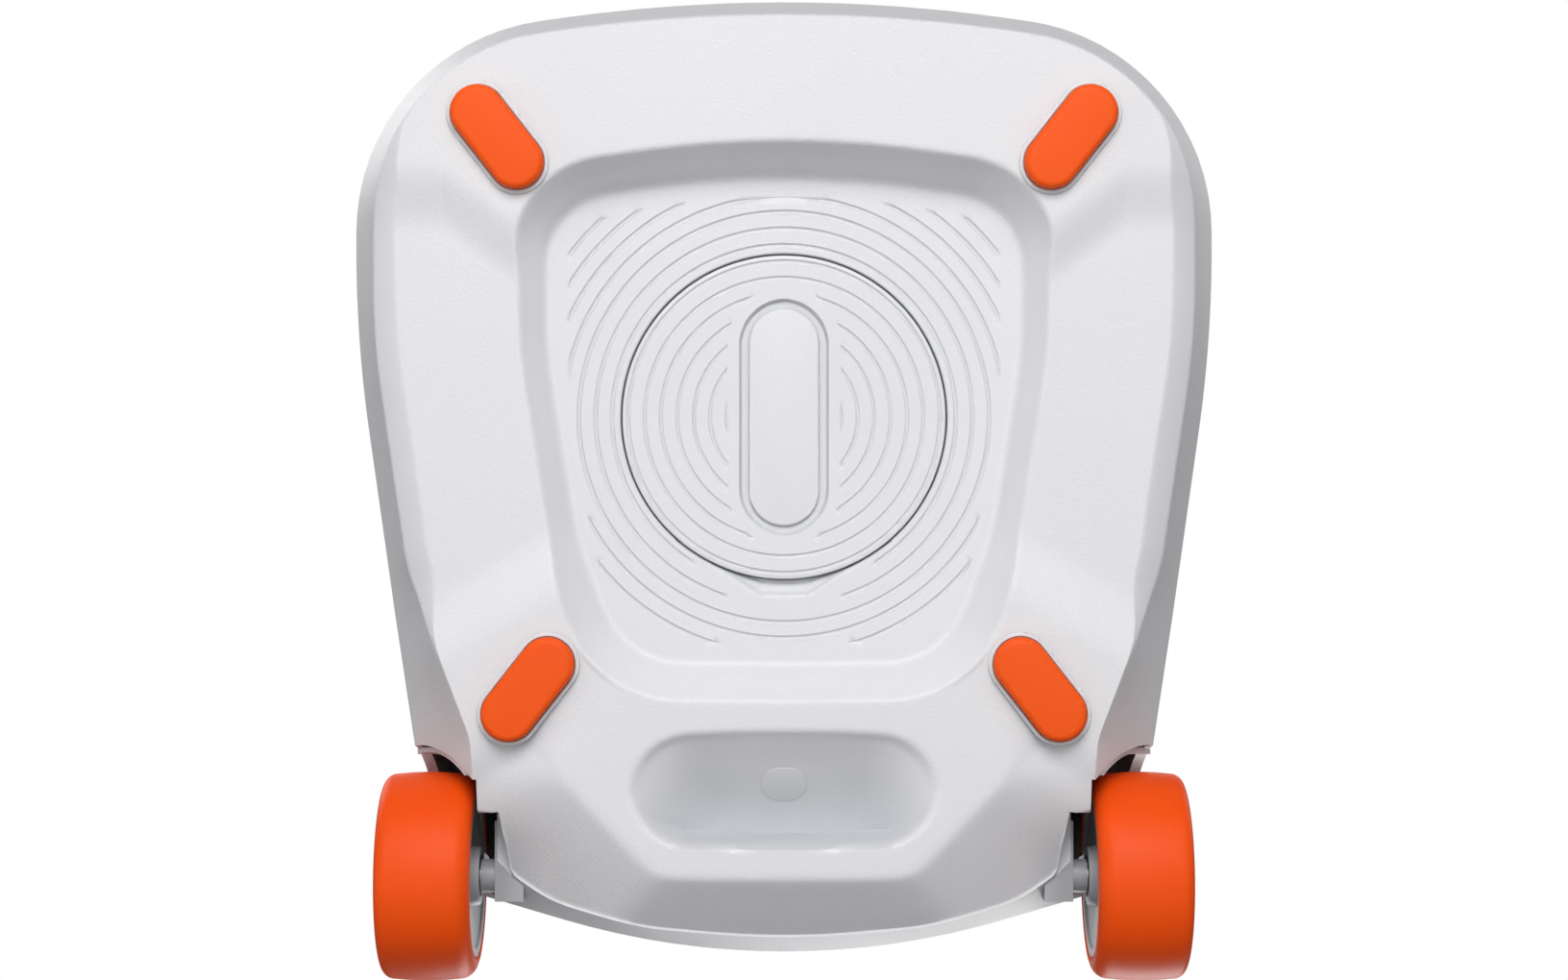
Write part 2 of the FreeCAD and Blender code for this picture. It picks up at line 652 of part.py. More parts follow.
SOCKETS = (("MicJack", -34, 404), ("GuitarJack", -34, 364))


def make_rear():
    inner_face = panel_y - panel_thick
    plate = prism("PanelPlate", round_rect(panel_half + 5, panel_low - 5, panel_high + 5, 18),
                  inner_face, panel_y, "XZ_Plane")
    port_hole = rod("PortHole", port_radius + 3.1, 20, 0, panel_y - 15, port_level, REARWARD)
    jack_holes = [rod(f"Hole{name}", 6.1, 20, x, panel_y - 15, z, REARWARD) for name, x, z in SOCKETS]
    inlet_hole = block("InletHole", (-45, 150, 460), (-12, 170, 484))
    usb_hole = block("UsbHole", (11, 150, 357), (41, 170, 379))
    screws = [(x, z) for x in (-52, 52) for z in (204, 320, 506)]
    screw_holes = [rod(f"ScrewHole{i}", 1.7, 20, x, panel_y - 15, z, REARWARD)
                   for i, (x, z) in enumerate(screws)]
    node("io_panel", cut("Panel", plate, port_hole, inlet_hole, usb_hole, *jack_holes, *screw_holes))
    heads = []
    for i, (x, z) in enumerate(screws):
        screw = turned(f"Screw{i}", [(0, -14, 0), (1.5, -14, 0), (1.5, 0.05, 0), (3.6, 0.05, 0),
                                     (3.6, 1.9, 1), (0, 1.9, 0)], x, panel_y, z, REARWARD)
        slot = block(f"Slot{i}", (x - 2.4, panel_y + 1.0, z - 0.5), (x + 2.4, panel_y + 3, z + 0.5))
        heads.append(cut(f"ScrewCut{i}", screw, slot))
    node("panel_screws", group("PanelScrews", heads))

    jacks = []
    for name, x, z in SOCKETS:
        jack = turned(name, [(jack_radius, -20, 0), (6, -20, 0), (6, 0.05, 0), (8, 0.05, 0), (8, 2, 0.5),
                             (jack_radius, 2, 0)], x, panel_y, z, REARWARD)
        jacks.append(jack)
    shell = prism("InletShell", round_rect(16.2, 460.3, 483.7, 4), panel_y - 22, panel_y + 1.5, "XZ_Plane")
    room = prism("InletRoom", round_rect(12, 464, 480, 3), panel_y - 16, panel_y + 3, "XZ_Plane")
    shell_at = place(shell, -28.5, 0, 0)
    room_at = place(room, -28.5, 0, 0)
    prongs = [rod(f"Prong{i}", 1.6, 12, -28.5 + 5 * i, panel_y - 17, 472, REARWARD) for i in (-1, 1)]
    node("power_inlet", fused("Inlet", cut("InletCup", shell_at, room_at), *prongs))

    port = turned("Port", [
        (port_radius, -port_length, 0), (port_radius + 2.4, -port_length, 0), (port_radius + 2.4, 0.05, 0),
        (port_radius + 9, 0.05, 0), (port_radius + 9, 4, 1), (port_radius + 4.5, 4, 2.5),
        (port_radius, -2, 6)], 0, panel_y, port_level, REARWARD)
    node("bass_port", port)

    lid = prism("FlapLid", round_rect(20, 342, 394, 5), panel_y + 0.3, panel_y + 2.8, "XZ_Plane")
    bead = rod("FlapBead", 1.6, 44, 46.8, panel_y + 2.2, 346)
    node("port_flap", fused("Flap", place(lid, 26, 0, 0), bead))
    usb = block("UsbBody", (11.5, panel_y - 18, 357.5), (40.5, panel_y - 0.6, 378.5))
    mouth = block("UsbMouth", (19, panel_y - 14, 365), (33, panel_y + 1, 371))
    node("rear_sockets", group("RearSockets", jacks + [cut("UsbSocket", usb, mouth)]))


def make_electronics():
    board = block("AmpBoard", (-54, 128, 330), (54, 129.6, 512))
    fins = [block(f"Fin{i}", (-50 + 9 * i, 100, 440), (-47.5 + 9 * i, 125, 505)) for i in range(12)]
    base = block("FinBase", (-50, 124, 440), (51.5, 128.5, 505))
    posts = [rod(f"Post{x}{z}", 3, 31.3, x, 128.6, z, REARWARD) for x in (-50, 50) for z in (340, 490)]
    node("amplifier_board", fused("Amplifier", board, base, *fins, *posts))
    supply = block("Supply", (-66, 52, 37.1), (66, 112, 75))
    coil = rod("SupplyCoil", 16, 12, -30, 82, 74)
    node("power_supply", fused("PowerSupply", supply, coil))


# ---------------------------------------------------------------- top

BUTTONS = (("power", -64, 32), ("bluetooth", -32, 42), ("play", 0, 46), ("bass", 32, 42), ("light", 64, 32))
GAINS = (("mic_gain", -72, -84), ("guitar_gain", 72, -84))
VOLUME_Y = -52


def make_top():
    cap_block = prism("CapBlock", hull_outline(), cap_level, top_level)
    cap = rounded("CapRound", cap_block, 13, on_level(top_level))
    hollow = prism("CapHollow", mirrored([(0, -166, 500), (138, -146, 58), (138, -54, 400), (112, 118, 14)]),
                   cap_level - 1, deck_level - 5)
    well = prism("DeckWell", round_rect(deck_half, -deck_front, deck_rear, 34), deck_level, top_level + 1)
    grip_gap = prism("GripGap", round_rect(56, 125, 152, 12), deck_level - 3, top_level + 1)
    sleeve_holes = [rod(f"CapSleeve{name}", sleeve_radius + 0.3, 40, side * tube_x, tube_y, cap_level - 5)
                    for name, side in SIDES]
    deck_holes, deep_holes = [], []
    for name, x, y in BUTTONS:
        deck_holes.append(rod(f"DeckHole{name}", button_radius + 0.4, 6, x, y, deck_level - 1))
        deep_holes.append(rod(f"StemHole{name}", 2.9, 12, x, y, deck_level - 8))
    for name, x, y in GAINS + (("volume", 0, VOLUME_Y),):
        deck_holes.append(rod(f"DeckHole{name}", 3.4, 6, x, y, deck_level - 1))
        deep_holes.append(rod(f"StemHole{name}", 3.4, 12, x, y, deck_level - 8))
    node("top_cap", cut("Cap", cap, hollow, well, grip_gap, *sleeve_holes, *deep_holes))
    deck = prism("DeckPlate", round_rect(deck_half - 0.4, -deck_front + 0.4, deck_rear - 0.4, 33.6),
                 deck_level, deck_level + deck_thick)
    node("control_deck", cut("Deck", deck, *deck_holes))
    board = block("ControlBoard", (-96, -112, board_level), (96, 60, board_level + 1.6))
    switches = [rod(f"Switch{name}", 3, 1.4, x, y, board_level + 1.5) for name, x, y in BUTTONS]
    node("control_board", fused("Board", board, *switches))


def make_controls():
    deck_top = deck_level + deck_thick
    r = button_radius
    for name, x, y in BUTTONS:
        button = turned(f"Button{name}", [
            (0, -9.9, 0), (2.5, -9.9, 0), (2.5, -1.2, 0), (r, -1.2, 0), (r, 2.6, 0.9), (0, 2.6, 0)],
            x, y, deck_top)
        node(f"button_{name}", button)
    k = knob_radius
    knob = turned("VolumeTurn", [
        (0, -11, 0), (3, -11, 0), (3, 0.6, 0), (k, 0.6, 0.6), (k, 9, 0), (k - 1.5, 14, 2.5), (k - 5, 14, 1),
        (k - 7, 12.6, 1), (0, 12.6, 0)], 0, VOLUME_Y, deck_top)
    mark = block("VolumeMark", (-1, VOLUME_Y - 17, deck_top + 12), (1, VOLUME_Y - 8, deck_top + 13.1))
    node("volume_knob", fused("VolumeKnob", knob, mark))
    s = small_knob_radius
    for name, x, y in GAINS:
        small = turned(f"Turn{name}", [
            (0, -11, 0), (3, -11, 0), (3, 0.6, 0), (s, 0.6, 0.5), (s - 0.8, 12, 1.2), (0, 12, 0)], x, y, deck_top)
        mark = block(f"Mark{name}", (x - 0.6, y - s + 0.9, deck_top + 4), (x + 0.6, y - 3, deck_top + 12.5))
        node(f"{name}_knob", fused(f"Knob{name}", small, mark))


# ---------------------------------------------------------------- telescopic handle

def make_handle():
    sleeves, tubes, links = [], [], []
    inner = tube_radius - tube_wall
    top = top_level - 0.6
    for name, side in SIDES:
        x = side * tube_x
        sleeve = cut(f"Sleeve{name}", rod(f"SleeveRod{name}", sleeve_radius, top - sleeve_low, x, tube_y,
                                          sleeve_low),
                     rod(f"SleeveBore{name}", tube_radius + 0.25, top - sleeve_low + 2, x, tube_y,
                         sleeve_low + 3))
        catch = rod(f"Catch{name}", 2.4, 12, x - side * 13, tube_y, sleeve_low + 14, outward(side))
        sleeves.append(cut(f"SleeveCut{name}", sleeve, catch))
        length = grip_low - sleeve_low - 5
        tube = cut(f"Tube{name}", rod(f"TubeRod{name}", tube_radius, length, x, tube_y, sleeve_low + 5),
                   rod(f"TubeBore{name}", inner, length + 2, x, tube_y, sleeve_low + 4))
        hole = rod(f"PinHole{name}", 2.3, 14, x - side * 14, tube_y, sleeve_low + 14, outward(side))
        tubes.append(cut(f"TubeCut{name}", tube, hole))
        low = sleeve_low + 24
        links.append(rod(f"Link{name}", 2.2, grip_low + 6 - low, x, tube_y, low))
        pin = rod(f"LockPin{name}", 2.1, 10.5, x - side * 8.5, tube_y, sleeve_low + 14, outward(side))
        node(f"lock_pin_{name}", pin)
    node("handle_sleeves", group("HandleSleeves", sleeves))
    node("handle_tubes", group("HandleTubes", tubes))
    yoke = block("Yoke", (-tube_x - 4, tube_y - 3, grip_low + 5.5), (tube_x + 4, tube_y + 3, grip_low + 8))
    node("push_link", fused("PushLink", yoke, *links))
    grip = prism("GripBar", round_rect(96, tube_y - 13, tube_y + 13, 12.5), grip_low, grip_high)
    shaped = rounded("GripRound", grip, 5, lambda edge: on_level(grip_low)(edge) or on_level(grip_high)(edge))
    channel = block("GripChannel", (-tube_x - 5, tube_y - 4, grip_low + 2), (tube_x + 5, tube_y + 4, grip_low + 9))
    slot = place(stadium("ButtonSlot", 36.6, 12.6, 0, 20), 0, tube_y, grip_low + 4)
    ends = [rod(f"GripEnd{name}", inner - 0.1, 8, side * tube_x, tube_y, grip_low - 1) for name, side in SIDES]
    node("handle_grip", cut("Grip", shaped, channel, slot, *ends))
    button = place(stadium("HandleButton", 36, 12, 0, grip_high - grip_low - 7), 0, tube_y, grip_low + 8.05)
    node("handle_button", rounded("HandleButtonRound", button, 1.2, on_level(grip_high + 1.05)))


# ---------------------------------------------------------------- wheels

def make_wheels(hull_low, hull_high):
    clips, brackets, axles = [], [], []
    whole = fused("WholeHull", hull_low, hull_high)
    for name, side in SIDES:
        turn = outward(side)
        at = (side * wheel_inner, wheel_y, wheel_z)
        w = wheel_width
        tyre = turned(f"Tyre{name}", [
            (rim_radius, 0, 0), (wheel_radius - 0.7, 0, 4.5), (wheel_radius, w / 2, 260),
            (wheel_radius - 0.7, w, 4.5), (rim_radius, w, 0)], *at, turn)
        node(f"tyre_{name}", tyre)
        wheel_hub = turned(f"Hub{name}", [
            (bush_radius, -1, 0), (11, -1, 0), (12, 2.5, 0), (27, 1.2, 0), (28, 0.4, 0), (rim_radius - 0.02, 0.4, 0),
            (rim_radius - 0.02, w - 0.4, 0), (28.5, w - 0.4, 0), (27, w - 4, 0), (13, w - 4, 0), (12, w - 3, 0),
            (bush_radius, w - 3, 0)], *at, turn)
        holes = []
        for i in range(6):
            angle = math.radians(60 * i)
            x = side * (wheel_inner + w - 12)
            holes.append(rod(f"Hole{name}{i}", 4.6, 20, x, wheel_y + 19.5 * math.cos(angle),
                             wheel_z + 19.5 * math.sin(angle), turn))
        node(f"wheel_hub_{name}", cut(f"WheelHub{name}", wheel_hub, *holes))
        bush = turned(f"Bush{name}", [
            (axle_radius + running_gap, -1, 0), (bush_radius - 0.02, -1, 0), (bush_radius - 0.02, w - 3, 0),
            (axle_radius + running_gap, w - 3, 0)], *at, turn)
        node(f"wheel_bush_{name}", bush)
        inner_end = side * 103
        axles.append(rod(f"AxlePin{name}", axle_radius, wheel_inner + w - 101.5, inner_end, wheel_y, wheel_z, turn))
        clip = turned(f"Clip{name}", [(axle_radius + 0.02, w - 2.6, 0), (8.4, w - 2.6, 0), (8.4, w - 1.4, 0),
                                      (axle_radius + 0.02, w - 1.4, 0)], *at, turn)
        clips.append(clip)
        edge = [side * 100, side * (well_inner - 0.5)]
        plate = block(f"Plate{name}", (min(edge, key=number), 128, 33.4), (max(edge, key=number), 159, 70.5))
        boss = rod(f"Boss{name}", 6.5, wheel_inner - 1.4 - 101, side * 101, wheel_y, wheel_z, turn)
        bore = rod(f"BossBore{name}", axle_radius + 0.02, 40, side * 103, wheel_y, wheel_z, turn)
        brackets.append(cut(f"Bracket{name}", fused(f"BracketBody{name}", plate, boss), bore))
        ring = turned(f"WellRing{name}", [
            (well_radius, 0, 0), (well_radius + well_skin, 0, 0),
            (well_radius + well_skin, half_width + 10 - well_inner, 0),
            (well_radius, half_width + 10 - well_inner, 0)], side * well_inner, wheel_y, wheel_z, turn)
        liner = common(f"WellTrim{name}", ring, whole)
        behind = [side * (well_inner - 1), side * 190]
        away = block(f"WellOpen{name}", (min(behind, key=number), 123, -10),
                     (max(behind, key=number), 210, wheel_z + 26))
        node(f"wheel_well_{name}", cut(f"Well{name}", liner, away))
    node("wheel_brackets", group("WheelBrackets", brackets))
    node("wheel_axles", group("WheelAxles", axles))
    node("axle_clips", group("AxleClips", clips))


# ---------------------------------------------------------------- assembly

def main():
    hull_low, hull_high = make_whole_hull()
    liner_radius = well_radius + well_skin + 0.05
    spaces = [wheel_space(side, liner_radius) for _, side in SIDES]
    spaces += [bracket_space(side) for _, side in SIDES]
    make_base_tray(hull_low, make_feet(), spaces)
    make_battery()
    make_cabinet(hull_high, spaces)
    make_front()
    drivers = [make_woofer("lower", lower_woofer), make_woofer("upper", upper_woofer)]
    node("woofer_surrounds", group("WooferSurrounds", [surround for surround, _ in drivers]))
    node("light_rings", group("LightRings", [ring for _, ring in drivers]))
    make_tweeters()
    make_rear()
    make_electronics()
    make_top()
    make_controls()
    make_handle()
    make_wheels(hull_low, hull_high)
    doc.recompute()
    check_and_export()


def check_and_export():
    """Stops on any failed object or bad shape, then writes one STEP file for each node."""
    failed = [o.Name for o in doc.Objects if "Invalid" in o.State or "Error" in o.State]
    if failed:
        raise RuntimeError(f"objects that failed: {failed}")
    os.makedirs("parts", exist_ok=True)
    for label, item in nodes.items():
        shape = item.Shape
        if shape.isNull() or not shape.isValid() or not shape.Solids:
            raise RuntimeError(f"{label} has no valid solid")
        shape.exportStep(f"parts/{label}.step")
        box = shape.BoundBox
        print(f"{label:24s} solids {len(shape.Solids):2d}  {shape.Volume / 1000:9.2f} cm3  "
              f"x {box.XMin:7.1f} {box.XMax:7.1f}  y {box.YMin:7.1f} {box.YMax:7.1f}  "
              f"z {box.ZMin:6.1f} {box.ZMax:6.1f}")
    print(len(nodes), "nodes")


main()
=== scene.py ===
import json
import math

import bpy
import numpy as np
from mathutils import Matrix, Vector


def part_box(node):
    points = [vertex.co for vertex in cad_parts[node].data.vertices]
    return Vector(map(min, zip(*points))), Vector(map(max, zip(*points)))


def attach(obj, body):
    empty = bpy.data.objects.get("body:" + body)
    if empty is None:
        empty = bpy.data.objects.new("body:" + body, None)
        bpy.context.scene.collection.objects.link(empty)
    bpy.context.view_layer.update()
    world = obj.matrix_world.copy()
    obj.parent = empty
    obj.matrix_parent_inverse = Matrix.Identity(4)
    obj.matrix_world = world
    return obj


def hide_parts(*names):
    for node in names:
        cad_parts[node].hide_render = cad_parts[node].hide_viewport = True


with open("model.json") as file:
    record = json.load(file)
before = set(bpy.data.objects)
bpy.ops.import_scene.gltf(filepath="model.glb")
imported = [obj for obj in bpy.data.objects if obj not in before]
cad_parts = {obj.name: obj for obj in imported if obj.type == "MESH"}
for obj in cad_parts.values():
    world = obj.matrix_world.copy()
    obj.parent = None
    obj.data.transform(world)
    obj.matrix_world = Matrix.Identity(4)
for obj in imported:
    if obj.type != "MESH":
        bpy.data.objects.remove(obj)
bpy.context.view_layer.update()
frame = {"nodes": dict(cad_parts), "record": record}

# Wheeled portable loudspeaker, seen from below: +Z is up the cabinet, the grille faces -Y, metres.
nodes = frame["nodes"]
sides = {"left": -1, "right": 1}
print("frame loaded:", len(nodes), "nodes")


# handling pieces

def clearSelection():
    if bpy.context.object and bpy.context.object.mode != "OBJECT":
        bpy.ops.object.mode_set(mode="OBJECT")
    bpy.ops.object.select_all(action="DESELECT")


def choose(*pieces):
    clearSelection()
    for piece in pieces:
        piece.select_set(True)
    bpy.context.view_layer.objects.active = pieces[0]


def applyModifier(piece, kind, **settings):
    choose(piece)
    modifier = piece.modifiers.new(kind.title(), kind)
    for key, value in settings.items():
        setattr(modifier, key, value)
    bpy.ops.object.modifier_apply(modifier=modifier.name)


def settle(piece, name, smoothAngle=40):
    # puts the place, turn and size into the mesh, and shades it
    choose(piece)
    bpy.ops.object.transform_apply(location=True, rotation=True, scale=True)
    bpy.ops.object.shade_smooth_by_angle(angle=math.radians(smoothAngle))
    piece.name = name
    piece.data.name = name
    return piece


def selectFaces(piece, wanted):
    # opens edit mode with just the wanted faces selected
    choose(piece)
    bpy.ops.object.mode_set(mode="EDIT")
    bpy.ops.mesh.select_mode(type="FACE")
    bpy.ops.mesh.select_all(action="DESELECT")
    bpy.ops.object.mode_set(mode="OBJECT")
    for face in piece.data.polygons:
        face.select = bool(wanted(face))
    bpy.ops.object.mode_set(mode="EDIT")


def faceOutwards(piece):
    choose(piece)
    bpy.ops.object.mode_set(mode="EDIT")
    bpy.ops.mesh.select_all(action="SELECT")
    bpy.ops.mesh.remove_doubles(threshold=0.000005)
    bpy.ops.mesh.normals_make_consistent(inside=False)
    bpy.ops.object.mode_set(mode="OBJECT")


def meshPiece(name, points, faces):
    mesh = bpy.data.meshes.new(name)
    mesh.from_pydata([tuple(p) for p in points], [], faces)
    piece = bpy.data.objects.new(name, mesh)
    bpy.context.scene.collection.objects.link(piece)
    return piece


def ringFaces(ringCount, around):
    # four-sided faces between rings that each have the same number of points
    return [(k * around + i, (k + 1) * around + i, (k + 1) * around + (i + 1) % around,
             k * around + (i + 1) % around)
            for k in range(ringCount - 1) for i in range(around)]


def carve(piece, cutter):
    applyModifier(piece, "BOOLEAN", operation="DIFFERENCE", object=cutter, solver="MANIFOLD")
    bpy.data.objects.remove(cutter)


def finishPiece(piece, material, body, slot, *replaced):
    piece.data.materials.clear()
    piece.data.materials.append(material)
    for face in piece.data.polygons:
        face.material_index = 0
    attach(piece, body)
    if replaced:
        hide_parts(*replaced)
    return piece


# materials

def groupOf(name, inputs, outputs):
    group = bpy.data.node_groups.new(name, "ShaderNodeTree")
    for label, kind, value in inputs:
        socket = group.interface.new_socket(label, in_out="INPUT", socket_type=kind)
        socket.default_value = value
    for label, kind in outputs:
        group.interface.new_socket(label, in_out="OUTPUT", socket_type=kind)
    return group, group.nodes.new("NodeGroupInput"), group.nodes.new("NodeGroupOutput")


def makeGrainGroup():
    # leather-like moulded grain: soft cells under a finer noise
    group, given, out = groupOf(
        "mouldedGrain",
        [("Grain Scale", "NodeSocketFloat", 900.0), ("Fine Share", "NodeSocketFloat", 0.35)],
        [("Height", "NodeSocketFloat"), ("Tone", "NodeSocketFloat")])
    add, link = group.nodes.new, group.links.new
    coords = add("ShaderNodeTexCoord")
    cells = add("ShaderNodeTexVoronoi")
    cells.feature = "SMOOTH_F1"
    cells.inputs["Smoothness"].default_value = 0.6
    fine = add("ShaderNodeTexNoise")
    fine.inputs["Detail"].default_value = 3.0
    broad = add("ShaderNodeTexNoise")
    broad.inputs["Scale"].default_value = 9.0
    broad.inputs["Detail"].default_value = 4.0
    double = add("ShaderNodeMath")
    double.operation = "MULTIPLY"
    double.inputs[1].default_value = 1.9
    link(given.outputs["Grain Scale"], double.inputs[0])
    for texture in (cells, fine, broad):
        link(coords.outputs["Object"], texture.inputs["Vector"])
    link(given.outputs["Grain Scale"], cells.inputs["Scale"])
    link(double.outputs[0], fine.inputs["Scale"])
    mix = add("ShaderNodeMix")
    link(given.outputs["Fine Share"], mix.inputs[0])
    link(cells.outputs["Distance"], mix.inputs[2])
    link(fine.outputs["Fac"], mix.inputs[3])
    link(mix.outputs[0], out.inputs["Height"])
    link(broad.outputs["Fac"], out.inputs["Tone"])
    return group


def makeDustGroup():
    # faint handling marks and dust, gathered in broad patches
    group, given, out = groupOf(
        "handlingDust",
        [("Patch Scale", "NodeSocketFloat", 14.0), ("Amount", "NodeSocketFloat", 0.3)],
        [("Mask", "NodeSocketFloat")])
    add, link = group.nodes.new, group.links.new
    coords = add("ShaderNodeTexCoord")
    patches = add("ShaderNodeTexNoise")
    patches.inputs["Detail"].default_value = 6.0
    patches.inputs["Roughness"].default_value = 0.65
    ramp = add("ShaderNodeMapRange")
    ramp.inputs["From Min"].default_value = 0.48
    ramp.inputs["From Max"].default_value = 0.78
    scaled = add("ShaderNodeMath")
    scaled.operation = "MULTIPLY"
    link(coords.outputs["Object"], patches.inputs["Vector"])
    link(given.outputs["Patch Scale"], patches.inputs["Scale"])
    link(patches.outputs["Fac"], ramp.inputs["Value"])
    link(ramp.outputs["Result"], scaled.inputs[0])
    link(given.outputs["Amount"], scaled.inputs[1])
    link(scaled.outputs[0], out.inputs["Mask"])
    return group


def makeHollowShadeGroup():
    # painted shade in hollows: darkens the colour where ambient occlusion finds a hollow, 1 deep inside one,
    # 0 on open faces
    group, given, out = groupOf(
        "hollowGrime",
        [("Reach", "NodeSocketFloat", 0.03), ("Amount", "NodeSocketFloat", 0.3)],
        [("Mask", "NodeSocketFloat")])
    add, link = group.nodes.new, group.links.new
    around = add("ShaderNodeAmbientOcclusion")
    around.samples = 24
    ramp = add("ShaderNodeMapRange")
    ramp.inputs["From Min"].default_value = 0.92
    ramp.inputs["From Max"].default_value = 0.35
    scaled = add("ShaderNodeMath")
    scaled.operation = "MULTIPLY"
    link(given.outputs["Reach"], around.inputs["Distance"])
    link(around.outputs["AO"], ramp.inputs["Value"])
    link(ramp.outputs["Result"], scaled.inputs[0])
    link(given.outputs["Amount"], scaled.inputs[1])
    link(scaled.outputs[0], out.inputs["Mask"])
    return group


def makeWearGroup():
    # lightens worn corners a little
    group, given, out = groupOf("edgeWear", [("Amount", "NodeSocketFloat", 0.4)],
                                [("Mask", "NodeSocketFloat")])
    add, link = group.nodes.new, group.links.new
    geometry = add("ShaderNodeNewGeometry")
    ramp = add("ShaderNodeMapRange")
    ramp.inputs["From Min"].default_value = 0.52
    ramp.inputs["From Max"].default_value = 0.62
    scaled = add("ShaderNodeMath")
    scaled.operation = "MULTIPLY"
    link(geometry.outputs["Pointiness"], ramp.inputs["Value"])
    link(ramp.outputs["Result"], scaled.inputs[0])
    link(given.outputs["Amount"], scaled.inputs[1])
    link(scaled.outputs[0], out.inputs["Mask"])
    return group


grainGroup = makeGrainGroup()
dustGroup = makeDustGroup()
wearGroup = makeWearGroup()
hollowGroup = makeHollowShadeGroup()

finishes = {
    # colour and its toned form, roughness low and high, grain scale and its fine share, bump strength,
    # bump depth in metres, edge wear, and where needed gloss, metal, and painted shade in hollows (its
    # amount and colour)
    # the white shell's colour darkens to blue-grey in its hollows: painted shade
    "shellWhite": dict(colour=(0.80, 0.795, 0.81), toned=(0.765, 0.765, 0.785), rough=(0.40, 0.52),
                       grain=1050, fine=0.4, bump=0.5, depth=0.00028, wear=0.1,
                       hollow=0.68, shadeColour=(0.42, 0.44, 0.47)),
    "capWhite": dict(colour=(0.81, 0.805, 0.82), toned=(0.775, 0.775, 0.795), rough=(0.34, 0.44),
                     grain=1500, fine=0.5, bump=0.14, depth=0.00012, wear=0.1),
    "orangeRubber": dict(colour=(0.97, 0.108, 0.004), toned=(0.92, 0.085, 0.003), rough=(0.46, 0.6),
                         grain=1800, fine=0.7, bump=0.12, depth=0.0001, wear=0.06, gloss=0.22),
    # the tyres take a darker copy of the feet's orange rubber: painted shade for their shaded lower side
    "shadedTyreRubber": dict(colour=(0.95, 0.088, 0.002), toned=(0.87, 0.07, 0.002), rough=(0.44, 0.56),
                       grain=1500, fine=0.7, bump=0.14, depth=0.0001, wear=0.04, gloss=0.2),
    "orangeTrim": dict(colour=(0.9, 0.1, 0.012), toned=(0.82, 0.085, 0.01), rough=(0.3, 0.42),
                       grain=1600, fine=0.5, bump=0.06, depth=0.0001, wear=0.15),
    "greyPlastic": dict(colour=(0.26, 0.26, 0.265), toned=(0.22, 0.22, 0.225), rough=(0.42, 0.55),
                        grain=1300, fine=0.5, bump=0.2, depth=0.00015, wear=0.2),
    "hubGrey": dict(colour=(0.36, 0.36, 0.375), toned=(0.31, 0.31, 0.325), rough=(0.36, 0.48),
                    grain=1300, fine=0.5, bump=0.12, depth=0.0001, wear=0.2),
    "darkPlastic": dict(colour=(0.022, 0.022, 0.024), toned=(0.03, 0.03, 0.032), rough=(0.38, 0.52),
                        grain=1300, fine=0.5, bump=0.22, depth=0.00015, wear=0.25),
    "blackRubber": dict(colour=(0.014, 0.014, 0.015), toned=(0.022, 0.022, 0.022), rough=(0.6, 0.75),
                        grain=900, fine=0.6, bump=0.25, depth=0.00015, wear=0.1),
    "coneFibre": dict(colour=(0.035, 0.034, 0.033), toned=(0.055, 0.053, 0.05), rough=(0.62, 0.8),
                      grain=420, fine=0.8, bump=0.6, depth=0.0004, wear=0.0),
    "boardGreen": dict(colour=(0.012, 0.09, 0.045), toned=(0.01, 0.07, 0.035), rough=(0.3, 0.45),
                       grain=600, fine=0.5, bump=0.1, depth=0.0001, wear=0.2),
    "paintedBoard": dict(colour=(0.03, 0.028, 0.026), toned=(0.04, 0.037, 0.034), rough=(0.6, 0.75),
                         grain=500, fine=0.6, bump=0.4, depth=0.0002, wear=0.1),
    "grilleMetal": dict(colour=(0.018, 0.018, 0.02), toned=(0.028, 0.028, 0.03), rough=(0.42, 0.56),
                        grain=2400, fine=0.6, bump=0.2, depth=0.00008, wear=0.25, metal=0.35),
    "basketSteel": dict(colour=(0.03, 0.03, 0.033), toned=(0.045, 0.045, 0.048), rough=(0.4, 0.55),
                        grain=1500, fine=0.6, bump=0.15, depth=0.0001, wear=0.3, metal=0.6),
    "plainSteel": dict(colour=(0.55, 0.55, 0.56), toned=(0.42, 0.42, 0.43), rough=(0.24, 0.4),
                       grain=1700, fine=0.8, bump=0.06, depth=0.00006, wear=0.3, metal=1.0),
    "tubeMetal": dict(colour=(0.66, 0.66, 0.68), toned=(0.58, 0.58, 0.6), rough=(0.26, 0.36),
                      grain=2200, fine=0.9, bump=0.05, depth=0.00005, wear=0.2, metal=1.0),
    "platedContact": dict(colour=(0.85, 0.6, 0.22), toned=(0.7, 0.48, 0.18), rough=(0.2, 0.32),
                          grain=1500, fine=0.5, bump=0.04, depth=0.00005, wear=0.2, metal=1.0),
    "lightPipe": dict(colour=(0.72, 0.76, 0.82), toned=(0.66, 0.7, 0.78), rough=(0.18, 0.3),
                      grain=700, fine=0.4, bump=0.04, depth=0.00005, wear=0.0),
}


shading = {"dust": 0.5, "toneShare": 0.6, "wornLight": 1.12, "wornDark": 1.9}


